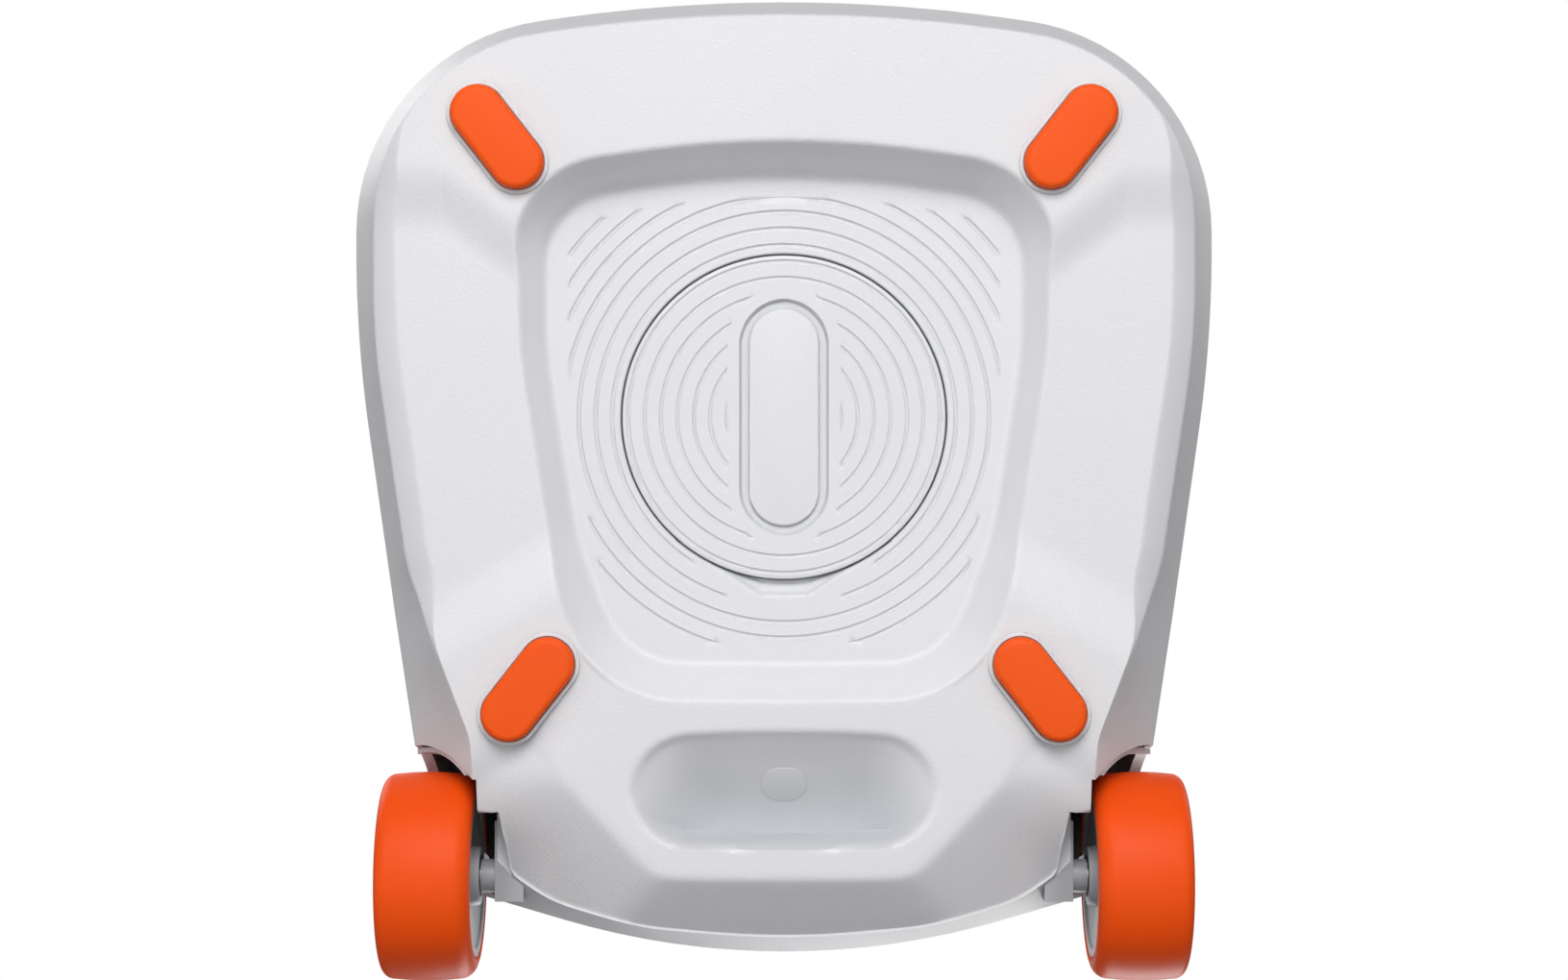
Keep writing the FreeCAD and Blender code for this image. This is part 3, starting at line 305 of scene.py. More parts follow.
def makeMaterial(name, finish):
    material = bpy.data.materials.new(name)
    material.use_nodes = True
    tree = material.node_tree
    add, link = tree.nodes.new, tree.links.new
    shader = tree.nodes["Principled BSDF"]
    grain, dust, wear = add("ShaderNodeGroup"), add("ShaderNodeGroup"), add("ShaderNodeGroup")
    grain.node_tree, dust.node_tree, wear.node_tree = grainGroup, dustGroup, wearGroup
    grain.inputs["Grain Scale"].default_value = finish["grain"]
    grain.inputs["Fine Share"].default_value = finish["fine"]
    dust.inputs["Amount"].default_value = shading["dust"]
    wear.inputs["Amount"].default_value = finish["wear"]
    base = add("ShaderNodeMix")
    base.data_type = "RGBA"
    base.inputs[6].default_value = (*finish["colour"], 1)
    base.inputs[7].default_value = (*finish["toned"], 1)
    toneShare = add("ShaderNodeMath")
    toneShare.operation = "MULTIPLY_ADD"
    toneShare.inputs[1].default_value = shading["toneShare"]
    link(grain.outputs["Tone"], toneShare.inputs[0])
    link(dust.outputs["Mask"], toneShare.inputs[2])
    link(toneShare.outputs[0], base.inputs[0])
    worn = add("ShaderNodeMix")
    worn.data_type = "RGBA"
    lift = shading["wornLight"] if finish["colour"][0] > 0.5 else shading["wornDark"]
    worn.inputs[7].default_value = (*[min(c * lift, 0.9) for c in finish["colour"]], 1)
    link(wear.outputs["Mask"], worn.inputs[0])
    link(base.outputs[2], worn.inputs[6])
    finalColour = worn
    # painted shade: where the finish asks for it, the colour darkens towards a blue-grey in hollows
    if "hollow" in finish:
        hollow = add("ShaderNodeGroup")
        hollow.node_tree = hollowGroup
        hollow.inputs["Amount"].default_value = finish["hollow"]
        finalColour = add("ShaderNodeMix")
        finalColour.data_type = "RGBA"
        finalColour.inputs[7].default_value = (*finish["shadeColour"], 1)
        link(hollow.outputs["Mask"], finalColour.inputs[0])
        link(worn.outputs[2], finalColour.inputs[6])
    link(finalColour.outputs[2], shader.inputs["Base Color"])
    rough = add("ShaderNodeMapRange")
    rough.inputs["To Min"].default_value, rough.inputs["To Max"].default_value = finish["rough"]
    link(grain.outputs["Tone"], rough.inputs["Value"])
    link(rough.outputs["Result"], shader.inputs["Roughness"])
    bump = add("ShaderNodeBump")
    bump.inputs["Strength"].default_value = finish["bump"]
    bump.inputs["Distance"].default_value = finish["depth"]
    link(grain.outputs["Height"], bump.inputs["Height"])
    link(bump.outputs["Normal"], shader.inputs["Normal"])
    shader.inputs["Metallic"].default_value = finish.get("metal", 0.0)
    shader.inputs["Specular IOR Level"].default_value = finish.get("gloss", 0.5)
    return material


materials = {name: makeMaterial(name, finish) for name, finish in finishes.items()}
slotFinish = {
    "shell_white": "shellWhite", "cap_white": "capWhite", "cover_white": "shellWhite",
    "orange_rubber": "orangeRubber", "orange_trim": "orangeTrim", "grey_plastic": "greyPlastic",
    "dark_plastic": "darkPlastic", "black_rubber": "blackRubber", "grille_metal": "grilleMetal",
    "baffle_wood": "paintedBoard", "cone_fibre": "coneFibre", "basket_steel": "basketSteel",
    "steel": "plainSteel", "tube_metal": "tubeMetal", "light_pipe": "lightPipe",
    "board_green": "boardGreen", "contact_metal": "platedContact",
}
slotOf = {part["node"]: part["material_slot"] for part in frame["record"]["subparts"]}
for node, slot in slotOf.items():
    cadMesh = nodes[node].data
    cadMesh.materials.clear()
    cadMesh.materials.append(materials[slotFinish[slot]])
for name in ("wheel_hub_left", "wheel_hub_right", "wheel_brackets"):
    nodes[name].data.materials[0] = materials["hubGrey"]
print("materials made:", len(materials))


# the base tray: one moulded skin whose height follows nested outlines, in millimetres

tray = {
    "directions": 520,
    "centre": (0.0, -26.7),          # middle of the round battery cover
    "landHeight": 6.0, "recessHeight": 24.0, "hullHeight": 50.0, "seamHeight": 55.9,
    "holeRadius": 62.2, "holeLip": 27.6, "skinHeight": 28, "cornerSteps": 16,
    "wallDrop": 18.8, "wallSteps": 16, "wallReach": 1.06, "landSteps": 78, "skinSteps": 12,
    "sideBand": (-142, 62, 30), "rearBand": (126, 12), "rimChamfer": 0.9, "sideChamfer": 8.9,
    "chamferRise": (1.2, 5.8), "footFlat": 2.4,
    "mouth": [(0, -134, 380), (102.3, -119.5, 38), (102.3, -52, 200), (90.5, 22, 120), (72, 79.5, 46),
              (0, 80.2, 500)],
    "floorEdge": [(0, -119.5, 370), (88.8, -106.5, 26), (88.8, -52, 190), (77.4, 18, 110), (60, 65.2, 32),
                  (0, 66, 400)],
    "wallLine": [(0, -183.5, 600), (155.4, -161.5, 74), (155.4, -56, 280), (142.8, 30, 60), (118.2, 95, 24),
                 (116.6, 122, 2), (108.3, 123.2, 2), (105.6, 150, 7), (90, 160.3, 50), (52, 169.6, 100),
                 (0, 175, 300)],
    "hull": [(0, -195, 620), (166.5, -171.5, 83), (166.5, -57, 500), (151.3, 50, 300), (136, 151, 22),
             (0, 191, 300)],
    "rearCrease": 147.3, "rearSlope": 40, "sideCrease": (82.6, 110.8), "sideSlope": 33,
    "dishDepth": 4.6, "rimSetIn": 2.0, "rimFuller": 2.4,
    "pocket": dict(x=58.6, front=90.4, rear=135.9, corner=22.5, depth=27.6, bow=0.0012,
                   frontSlope=42.0, rearSlope=2.6, endSlope=30.0),
    "grooves": (65.4, 71.7, 78.1, 84.0, 90.0, 96.0, 102.5), "grooveHalf": 0.95, "grooveDepth": 0.75,
    "grooveSide": 82.0, "grooveFront": -83.4, "grooveRear": 85.8,
    "notchGaps": {65.4: 34.6, 71.7: 22.0}, "frontOnly": (96.0, 102.5),
    "notch": dict(half=9.3, rear=41.4, slant=1.56, ramp=8.0, depth=4.2),
}


def smooth(value):
    t = np.clip(value, 0, 1)
    return t * t * (3 - 2 * t)


def softMax(a, b, width):
    return 0.5 * (a + b + np.sqrt((a - b) ** 2 + width ** 2))


def outlineLine(halfCorners):
    # a closed, rounded line through corners (x, y, radius), the left half mirrored from the right
    corners = halfCorners + [(-x, y, r) for x, y, r in halfCorners[::-1] if x > 0]
    spots = [np.array((x, y), float) for x, y, _ in corners]
    line = []
    for i, (_, _, radius) in enumerate(corners):
        at = spots[i]
        back = spots[i - 1] - at
        forward = spots[(i + 1) % len(spots)] - at
        back, forward = back / np.linalg.norm(back), forward / np.linalg.norm(forward)
        half = math.acos(max(-1, min(1, float(back @ forward)))) / 2
        reach = radius / math.tan(half)
        middle = back + forward
        centre = at + middle / np.linalg.norm(middle) * radius / math.sin(half)
        start, end = at + back * reach - centre, at + forward * reach - centre
        first = math.atan2(start[1], start[0])
        turn = (math.atan2(end[1], end[0]) - first + math.pi) % (2 * math.pi) - math.pi
        for k in range(tray["cornerSteps"] + 1):
            angle = first + turn * k / tray["cornerSteps"]
            line.append(centre + radius * np.array((math.cos(angle), math.sin(angle))))
    full = []
    for a, b in zip(line, line[1:] + line[:1]):
        steps = max(1, int(np.linalg.norm(b - a)))         # about 1 mm apart
        full += [a + (b - a) * k / steps for k in range(steps)]
    return np.array(full)


def reachOf(halfCorners, angles):
    # how far the outline is from the tray's centre in each direction
    line = outlineLine(halfCorners) - np.array(tray["centre"])
    around = np.arctan2(line[:, 1], line[:, 0])
    order = np.argsort(around)
    return np.interp(angles, around[order], np.hypot(line[:, 0], line[:, 1])[order], period=2 * math.pi)


def pocketDepth(x, y):
    # long front slope, short rear wall, soft ends, and a rounded-rectangle mouth
    pocket = tray["pocket"]
    front, rear, corner = pocket["front"], pocket["rear"], pocket["corner"]
    dx = np.abs(x) - (pocket["x"] - corner)
    dy = np.abs(y - (front + rear) / 2) - ((rear - front) / 2 - corner + 0.4) + pocket["bow"] * x ** 2
    out = np.hypot(np.maximum(dx, 0), np.maximum(dy, 0)) + np.minimum(np.maximum(dx, dy), 0)

    def ease(reach):
        t = np.clip(reach, 0, 1)
        return 0.35 * smooth(t) + 0.25 * t + 0.4 * (1 - (1 - t) ** 2)

    walls = ease((y - front) / pocket["frontSlope"]) * ease((rear - y) / pocket["rearSlope"])
    ends = ease((pocket["x"] - np.abs(x)) / pocket["endSlope"])
    return pocket["depth"] * smooth((corner - out + 0.8) / 4.5) * walls * ends


def landHeight(x, y):
    # flat lands round the feet, with a shallow dish along each side between them
    wide = np.abs(x)
    frontLine = -88 - 0.75 * (np.minimum(wide, 128) - 100)
    rearLine = 36 + 0.6 * (wide - 100)
    dish = smooth((y - frontLine) / 26 + 0.5) * smooth((rearLine - y) / 30 + 0.5) * smooth((wide - 70) / 20)
    return tray["landHeight"] + tray["dishDepth"] * dish


def alongCrease(x, y):
    # how far a spot is along the corner crease, towards the wheel
    cx, cy = tray["sideCrease"]
    return 0.68 * (np.abs(x) - cx) - 0.73 * (y - cy)


def rearHeight(x, y):
    # the tilt bevel behind the lands: one slope across the rear, and one at each corner that
    # flattens towards the wheel
    rear = (y - tray["rearCrease"]) * math.tan(math.radians(tray["rearSlope"]))
    cx, cy = tray["sideCrease"]
    away = 0.73 * (np.abs(x) - cx) + 0.68 * (y - cy)
    along = alongCrease(x, y)
    steep = math.tan(math.radians(tray["sideSlope"]))
    rise = steep * np.where(away > 0, 1 - smooth((along + 18) / 58), 1.0)
    corner = away * rise - 12 * smooth((along - 18) / 30)
    return tray["landHeight"] + softMax(rear, corner, 3.0)


def grooveShare(x, y, radius):
    # 1 where the ring of that radius is cut, falling to 0 at its rounded ends
    side, level = np.abs(x), y - tray["centre"][1]
    rounding = 1.1

    def within(room):
        return smooth(room / rounding + 0.5)

    share = within(level - tray["grooveFront"] - 0.00155 * side ** 2)
    share = share * within(tray["grooveSide"] - 0.2 * np.maximum(level, 0) - side)
    share = share * within(tray["grooveRear"] - level)
    gap = tray["notchGaps"].get(radius)
    if gap:
        share = share * (1 - within(gap - side) * (level > 0))
    if radius in tray["frontOnly"]:
        share = share * within(-level - 10)
    return share


def buildTray():
    angles = np.linspace(-math.pi, math.pi, tray["directions"], endpoint=False)
    unit = np.stack([np.cos(angles), np.sin(angles)], 1)
    centre = np.array(tray["centre"])
    mouth, floorEdge = reachOf(tray["mouth"], angles), reachOf(tray["floorEdge"], angles)
    wall, hull = reachOf(tray["wallLine"], angles), reachOf(tray["hull"], angles)
    rings = []

    def ringAt(reach, height):
        spots = centre + unit * np.asarray(reach)[:, None]
        rings.append(np.column_stack([spots, height(spots[:, 0], spots[:, 1])]))

    def flat(level):
        return lambda x, y: np.full(len(x), float(level))

    # recess floor, with its sound-wave rings and the finger notch at the cover's rear edge
    hole, half, notch = tray["holeRadius"], tray["grooveHalf"], tray["notch"]

    def floorHeight(x, y, extra=0.0):
        beside = notch["half"] - np.abs(x) + notch["slant"] * (notch["rear"] - y)
        beside = beside / math.hypot(1, notch["slant"])
        inside = np.minimum(notch["rear"] - y, beside)
        slope = np.clip(inside / notch["ramp"], 0, 1) + 0.25 * smooth(inside / 1.6)
        return tray["recessHeight"] + extra + notch["depth"] * np.where(y > 20, slope, 0)

    ringAt(np.full(len(angles), hole), flat(tray["holeLip"]))
    ringAt(np.full(len(angles), hole), lambda x, y: floorHeight(x, y, 0.5))
    ringAt(np.full(len(angles), hole + 0.5), floorHeight)
    flatEnd = floorEdge - tray["footFlat"]
    ringAt(np.minimum(hole + 1.6, flatEnd), floorHeight)
    for radius in tray["grooves"]:
        for offset, deep in ((-half, 0), (-0.5 * half, 0.8), (0, 1), (0.5 * half, 0.8), (half, 0)):
            reach = np.minimum(radius + offset, flatEnd)
            cut = np.where(radius + offset < flatEnd, deep * tray["grooveDepth"], 0)
            ringAt(reach, lambda x, y: floorHeight(x, y) + cut * grooveShare(x, y, radius))
        for extra in ((1.7, 2.5, 3.3, 4.1) if radius in tray["notchGaps"] else (2.6,)):
            ringAt(np.minimum(radius + extra, flatEnd), floorHeight)
    ringAt(floorEdge - tray["footFlat"] / 2, floorHeight)
    ringAt(floorEdge, floorHeight)

    # recess wall: a long soft blend at its foot, steepest and nearly crisp at the mouth
    span = mouth - floorEdge
    for k in range(1, tray["wallSteps"] + 1):
        out = k / tray["wallSteps"] * tray["wallReach"]
        drop = tray["wallDrop"] * (0.42 * out * smooth(out / 0.4) + 0.58 * out ** 1.8)
        ringAt(floorEdge + span * out,
               lambda x, y: softMax(tray["recessHeight"] - drop, landHeight(x, y), 0.8))

    # lands, pocket and rear slopes, out to the chamfer along each side
    start = floorEdge + span * tray["wallReach"]
    wallY = (centre + unit * wall[:, None])[:, 1]
    sideFront, sideRear, sideFade = tray["sideBand"]
    sideShare = smooth((wallY - sideFront) / sideFade) * smooth((sideRear - wallY) / sideFade)
    rearShare = smooth((wallY - tray["rearBand"][0]) / tray["rearBand"][1])
    chamfer = tray["rimChamfer"] + tray["sideChamfer"] * sideShare
    wall = wall - tray["rimSetIn"] * rearShare
    edge = wall - chamfer
    fuller = hull + tray["rimFuller"] * rearShare

    def landSurface(x, y, rise=0.0):
        along = alongCrease(x, y)
        seamWidth = 1.0 + 6 * smooth((along + 2) / 26) * (1 - smooth((along - 22) / 30))
        return softMax(landHeight(x, y) + rise, rearHeight(x, y), seamWidth) + pocketDepth(x, y)

    for k in range(1, tray["landSteps"] + 1):
        ringAt(start + (edge - start) * k / tray["landSteps"], landSurface)
    edgeLevel = rings[-1][:, 2]
    lowRise, sideRise = tray["chamferRise"]
    for out in (0.12, 0.4, 0.7, 0.9, 1.0):
        lift = (lowRise + sideRise * sideShare) * out ** 1.15
        ledge = edgeLevel - 0.1 * out         # a narrow lip across the rear
        ringAt(edge + chamfer * out,
               lambda x, y: landSurface(x, y, lift) * (1 - rearShare) + ledge * rearShare)

    # steep wall up to the full outline, then the straight skirt
    footLevel = rings[-1][:, 2]
    for up in (0.05, 0.12, 0.22, 0.35, 0.5, 0.65, 0.8, 0.9, 0.96, 1.0):
        reach = wall + (fuller - wall) * (up - 0.03 * math.sin(math.pi * up))
        ringAt(reach, lambda x, y: footLevel + (tray["hullHeight"] - footLevel) * up)
    ringAt(hull, flat(tray["seamHeight"] - 0.5))
    ringAt(hull - 0.5, flat(tray["seamHeight"]))

    # inner skin, coarse, so that the tray has a wall and the battery hole shows depth
    ringAt(hull - 3.2, flat(tray["seamHeight"]))
    ringAt(hull - 3.4, flat(48))
    ringAt(wall - 1.5, lambda x, y: np.maximum(rearHeight(x, y) + 4, 32))
    for k in range(tray["skinSteps"] - 1, 0, -1):
        reach = mouth + (wall - 1.5 - mouth) * k / tray["skinSteps"]
        ringAt(reach, lambda x, y: np.maximum(softMax(landHeight(x, y), rearHeight(x, y), 2)
                                              + pocketDepth(x, y) + 3, tray["skinHeight"]))
    ringAt(mouth, flat(tray["skinHeight"]))
    ringAt(np.full(len(angles), hole), flat(tray["holeLip"]))
    piece = meshPiece("base_tray_skin", np.concatenate(rings) / 1000, ringFaces(len(rings), len(angles)))
    faceOutwards(piece)
    return piece


def blockCutter(low, high, turn=0.0, about=(0, 0)):
    low, high = Vector(low) / 1000, Vector(high) / 1000
    bpy.ops.mesh.primitive_cube_add(size=1, location=(low + high) / 2)
    cutter = bpy.context.object
    cutter.scale = high - low
    bpy.ops.object.transform_apply(location=True, rotation=True, scale=True)
    if turn:
        pivot = Vector((about[0], about[1], 0)) / 1000
        cutter.data.transform(Matrix.Translation(pivot) @ Matrix.Rotation(turn, 4, "Z")
                              @ Matrix.Translation(-pivot))
    return cutter


wheel = {"radius": 40.0, "width": 36.0, "inner": 118.0, "y": 150.0, "z": 41.0, "rim": 31.0, "crown": 0.7,
         "innerRound": 6.5, "outerRound": 4.5, "steps": 128}

# room for each wheel, as lowest and highest corners on the right-hand side
arch = {"radius": 50.3, "start": 115.8, "reach": 90.0, "steps": 160,
        "behind": ((110, 123, -5), (200, 205, 41)),
        "beside": ((106.2, 122.5, -5), (200, 215, 33)), "besideTurn": 8, "besidePivot": 135,
        "bracket": ((101.5, 127.5, 33.4), (113, 158, 57)),
        "liner": dict(x=111.5, start=4.4, end=40, low=47.6, high=49.4),
        "linerCuts": [((60, 123, -20), (260, 230, 120)), ((60, 60, -20), (260, 230, 17)),
                      ((60, 60, 54), (260, 230, 120))],
        "outside": ((118.5, 20, -60), (240, 260, 160)), "outsideSlope": 31, "outsideStart": 13}


def sideBlock(side, corners, turn=0.0, pivot=0.0):
    low, high = corners
    ends = sorted((side * low[0], side * high[0]))
    return blockCutter((ends[0], *low[1:]), (ends[1], *high[1:]), side * math.radians(turn),
                       (side * low[0], pivot))


trayPiece = buildTray()
for side in sides.values():
    clearSelection()
    bpy.ops.mesh.primitive_cylinder_add(
        vertices=arch["steps"], radius=arch["radius"] / 1000, depth=arch["reach"] / 1000,
        location=(side * (arch["start"] + arch["reach"] / 2) / 1000, wheel["y"] / 1000, wheel["z"] / 1000),
        rotation=(0, math.pi / 2, 0))
    carve(trayPiece, bpy.context.object)
    carve(trayPiece, sideBlock(side, arch["behind"]))
    carve(trayPiece, sideBlock(side, arch["beside"], arch["besideTurn"], arch["besidePivot"]))
    carve(trayPiece, sideBlock(side, arch["bracket"]))
settle(trayPiece, "base_tray_skin", 42)
finishPiece(trayPiece, materials["shellWhite"], "cabinet", "shell_white", "base_tray")
print("tray:", len(trayPiece.data.polygons), "faces")


# feet, each in a thin raised lip

foot = {"length": 44.0, "width": 20.4, "edge": 2.4, "turn": 52, "top": 7.6, "lipWidth": 1.7, "lipGap": 0.4,
        "lipLow": 4.8, "lipHigh": 9.5,
        "places": {"front_left": (-107.3, -131.0, 1), "front_right": (107.3, -131.0, -1),
                   "rear_left": (-95.8, 75.5, -1), "rear_right": (95.8, 75.5, 1)}}


def stadiumPlate(length, width, low, high, segments=72):
    # an oblong plate with round ends, along X, about the origin, in millimetres
    clearSelection()
    bpy.ops.mesh.primitive_cylinder_add(vertices=segments, radius=width / 2000, depth=(high - low) / 1000,
                                        location=(0, 0, (low + high) / 2000),
                                        rotation=(0, 0, math.pi / segments))
    plate = bpy.context.object
    bpy.ops.object.transform_apply(location=True, rotation=True, scale=True)
    for vertex in plate.data.vertices:
        vertex.co.x += math.copysign((length - width) / 2000, vertex.co.x)
    return plate


def bevelRim(plate, level, width, segments):
    # rounds the rim of the flat face at one height
    selectFaces(plate, lambda face: abs(face.normal.z) > 0.9 and abs(face.center.z - level / 1000) < 1e-6)
    bpy.ops.mesh.bevel(offset=width / 1000, segments=segments, profile=0.5)
    bpy.ops.object.mode_set(mode="OBJECT")


def placeFlat(piece, x, y, turn):
    piece.location = (x / 1000, y / 1000, 0)
    piece.rotation_euler = (0, 0, math.radians(turn))


for name, (x, y, sign) in foot["places"].items():
    pad = stadiumPlate(foot["length"], foot["width"], 0, foot["top"])
    bevelRim(pad, 0, foot["edge"], 6)
    placeFlat(pad, x, y, foot["turn"] * sign)
    settle(pad, f"foot_pad_{name}", 35)
    finishPiece(pad, materials["orangeRubber"], "cabinet", "orange_rubber", f"foot_{name}")
    grow, gap = 2 * foot["lipWidth"], 2 * foot["lipGap"]
    lip = stadiumPlate(foot["length"] + grow, foot["width"] + grow, foot["lipLow"], foot["lipHigh"])
    bevelRim(lip, foot["lipLow"], 0.5, 4)
    room = stadiumPlate(foot["length"] + gap, foot["width"] + gap, 0, foot["top"] + 0.3)
    carve(lip, room)
    placeFlat(lip, x, y, foot["turn"] * sign)
    settle(lip, f"foot_lip_{name}", 35)
    finishPiece(lip, materials["shellWhite"], "cabinet", "shell_white")

# the oblong plug in the pocket's floor
plug = {"length": 17.4, "width": 13.6, "proud": 0.35, "thick": 3.2, "y": 113.0}
drain = stadiumPlate(plug["length"], plug["width"], 0, plug["thick"])
bevelRim(drain, 0, 0.45, 3)
placeFlat(drain, 0, plug["y"], 0)
for vertex in drain.data.vertices:      # its face follows the pocket floor
    spot = np.array([vertex.co.x, vertex.co.y]) * 1000 + (0, plug["y"])
    vertex.co.z += (landHeight(spot[0], spot[1]) + pocketDepth(spot[0], spot[1]) - plug["proud"]) / 1000
settle(drain, "pocket_plug_face", 35)
finishPiece(drain, materials["shellWhite"], "cabinet", slotOf["pocket_plug"], "pocket_plug")
print("feet and plug made")


# battery cover: sound-wave rings round a plain capsule-shaped grip

cover = {"radius": 61.65, "height": 24.05, "thick": 3.4, "rings": (59.3, 53.0, 46.9, 40.6, 34.3, 28.1, 21.8),
         "directions": 540, "grooveHalf": 0.85, "grooveDepth": 0.7, "innerReach": 10.0,
         "grip": (84.0, 28.0), "gripY": -26.7, "gap": 3.6, "clear": 3.4, "taper": 1.4}


def capsuleDistance(x, y):
    length, width = cover["grip"]
    along = np.maximum(np.abs(y - cover["gripY"]) - (length - width) / 2, 0)
    return np.hypot(x, along) - width / 2


def buildCover():
    angles = np.linspace(-math.pi, math.pi, cover["directions"], endpoint=False)
    unit = np.stack([np.cos(angles), np.sin(angles)], 1)
    centre = np.array(tray["centre"])
    half, deep = cover["grooveHalf"], cover["grooveDepth"]
    rows = [(cover["radius"] - 0.9, 0.0), (cover["radius"] - 0.3, -0.25), (cover["radius"], -0.9)]
    heights = []
    for ring in cover["rings"][::-1]:
        heights += [(ring - half, 0), (ring - 0.5 * half, 0.8 * deep), (ring, deep)]
        heights += [(ring + 0.5 * half, 0.8 * deep), (ring + half, 0), (ring + 3.0, 0)]
    heights = [row for row in heights if row[0] < cover["radius"] - 1.0]
    heights = [(cover["innerReach"], 0), (18.0, 0)] + heights
    rings = []
    for reach, cut in heights:
        spots = centre + unit * reach
        free = smooth((capsuleDistance(spots[:, 0], spots[:, 1]) - cover["gap"] - cover["clear"]) / 1.2)
        if reach > 57:
            free = np.ones(len(angles))
        rings.append(np.column_stack([spots, cover["height"] + cut * free]))
    for reach, rise in rows:
        rings.append(np.column_stack([centre + unit * reach, np.full(len(angles), cover["height"] - rise)]))
    top = cover["height"] + cover["thick"]
    for reach in (cover["radius"], cover["innerReach"]):
        rings.append(np.column_stack([centre + unit * reach, np.full(len(angles), top)]))
    around = len(angles)
    faces = ringFaces(len(rings), around)
    faces.append(tuple(range(around)))
    faces.append(tuple(range((len(rings) - 1) * around, len(rings) * around))[::-1])
    piece = meshPiece("battery_cover_face", np.concatenate(rings) / 1000, faces)
    faceOutwards(piece)
    return piece


def gripPlate(grow, low, high):
    length, width = cover["grip"]
    plate = stadiumPlate(length + grow, width + grow, low, high)
    placeFlat(plate, 0, cover["gripY"], 90)
    return plate


coverPiece = buildCover()
groove = gripPlate(cover["gap"] * 2, cover["height"] - 1, cover["height"] + 2.0)
for vertex in groove.data.vertices:      # the groove narrows as it deepens
    if vertex.co.z > (cover["height"] + 1) / 1000:
        for axis in (0, 1):
            inward = min(abs(vertex.co[axis]), cover["taper"] / 1000)
            vertex.co[axis] -= math.copysign(inward, vertex.co[axis])
carve(coverPiece, groove)
settle(coverPiece, "battery_cover_face", 38)
finishPiece(coverPiece, materials["shellWhite"], "battery_module", "cover_white", "battery_cover")
grip = gripPlate(-1.2, cover["height"] + 0.25, cover["height"] + 3.0)
bevelRim(grip, cover["height"] + 0.25, 0.9, 4)
settle(grip, "battery_cover_grip", 35)
finishPiece(grip, materials["shellWhite"], "battery_module", "cover_white")
print("battery cover:", len(coverPiece.data.polygons), "faces")


# wheels

def turnedPiece(name, profile, origin, side, steps):
    # spins a profile of (along the axle, radius), in millimetres, about an axle that runs along X
    line = bpy.data.meshes.new(name)
    line.from_pydata([(side * along / 1000, 0, radius / 1000) for along, radius in profile],
                     [(k, k + 1) for k in range(len(profile) - 1)], [])
    piece = bpy.data.objects.new(name, line)
    bpy.context.scene.collection.objects.link(piece)
    choose(piece)
    bpy.ops.object.mode_set(mode="EDIT")
    bpy.ops.mesh.select_all(action="SELECT")
    bpy.ops.mesh.spin(steps=steps, angle=2 * math.pi, center=(0, 0, 0), axis=(1, 0, 0))
    bpy.ops.mesh.select_all(action="SELECT")
    bpy.ops.mesh.remove_doubles(threshold=0.00001)
    bpy.ops.mesh.normals_make_consistent(inside=False)
    bpy.ops.object.mode_set(mode="OBJECT")
    piece.location = Vector(origin) / 1000
    return piece


def roundedCorner(centreAlong, centreRadius, radius, first, last, count=7):
    return [(centreAlong + radius * math.cos(math.radians(first + (last - first) * k / count)),
             centreRadius + radius * math.sin(math.radians(first + (last - first) * k / count)))
            for k in range(count + 1)]


def tyreProfile():
    radius, width, rim = wheel["radius"], wheel["width"], wheel["rim"]
    inner, outer = wheel["innerRound"], wheel["outerRound"]
    edge = radius - wheel["crown"]
    shares = [k / 10 for k in range(1, 10)]
    tread = [(inner + (width - inner - outer) * share, radius - wheel["crown"] * (abs(share - 0.5) * 2) ** 2)
             for share in shares]
    return ([(1.2, rim), (0.6, rim + 1.0)] + roundedCorner(inner, edge - inner, inner, 180, 90)
            + tread + roundedCorner(width - outer, edge - outer, outer, 90, 0)
            + [(width - 0.6, rim + 1.0), (width - 1.2, rim), (1.2, rim)])


for name, side in sides.items():
    tyre = turnedPiece(f"tyre_tread_{name}", tyreProfile(), (side * wheel["inner"], wheel["y"], wheel["z"]),
                       side, wheel["steps"])
    settle(tyre, f"tyre_tread_{name}", 35)
    # the tyre's darker orange is painted shade
    finishPiece(tyre, materials["shadedTyreRubber"], f"wheel_{name}", "orange_rubber", f"tyre_{name}")
for name, side in sides.items():
    ring = arch["liner"]
    section = [(ring["start"], ring["low"]), (ring["end"], ring["low"]), (ring["end"], ring["high"]),
               (ring["start"], ring["high"]), (ring["start"], ring["low"])]
    liner = turnedPiece(f"arch_liner_{name}", section, (side * ring["x"], wheel["y"], wheel["z"]), side,
                        wheel["steps"])
    settle(liner, f"arch_liner_{name}", 35)
    for corners in arch["linerCuts"]:
        carve(liner, sideBlock(side, corners))
    outside = blockCutter(*arch["outside"])
    pivot = Vector((arch["outside"][0][0], 0, arch["outsideStart"])) / 1000
    outside.data.transform(Matrix.Translation(pivot)
                           @ Matrix.Rotation(math.radians(arch["outsideSlope"]), 4, "Y")
                           @ Matrix.Translation(-pivot))
    if side < 0:
        outside.data.transform(Matrix.Scale(-1, 4, (1, 0, 0)))
        outside.data.flip_normals()
    carve(liner, outside)
    settle(liner, f"arch_liner_{name}", 35)
    finishPiece(liner, materials["shellWhite"], "cabinet", "shell_white", f"wheel_well_{name}")
print("wheels made")


# grille: a curved sheet with staggered six-sided holes

grille = {"half": 127.0, "low": 91.0, "high": 601.0, "corner": 53.5, "pitch": 6.4, "web": 1.15,
          "thick": 1.0, "border": 4.0, "setBack": 0.3}


def hullFront(x):
    # how far forward the cabinet's bowed front is, in millimetres, at each x
    line = outlineLine(tray["hull"])
    front = line[line[:, 1] < -60]
    order = np.argsort(front[:, 0])
    return np.interp(x, front[order, 0], front[order, 1])


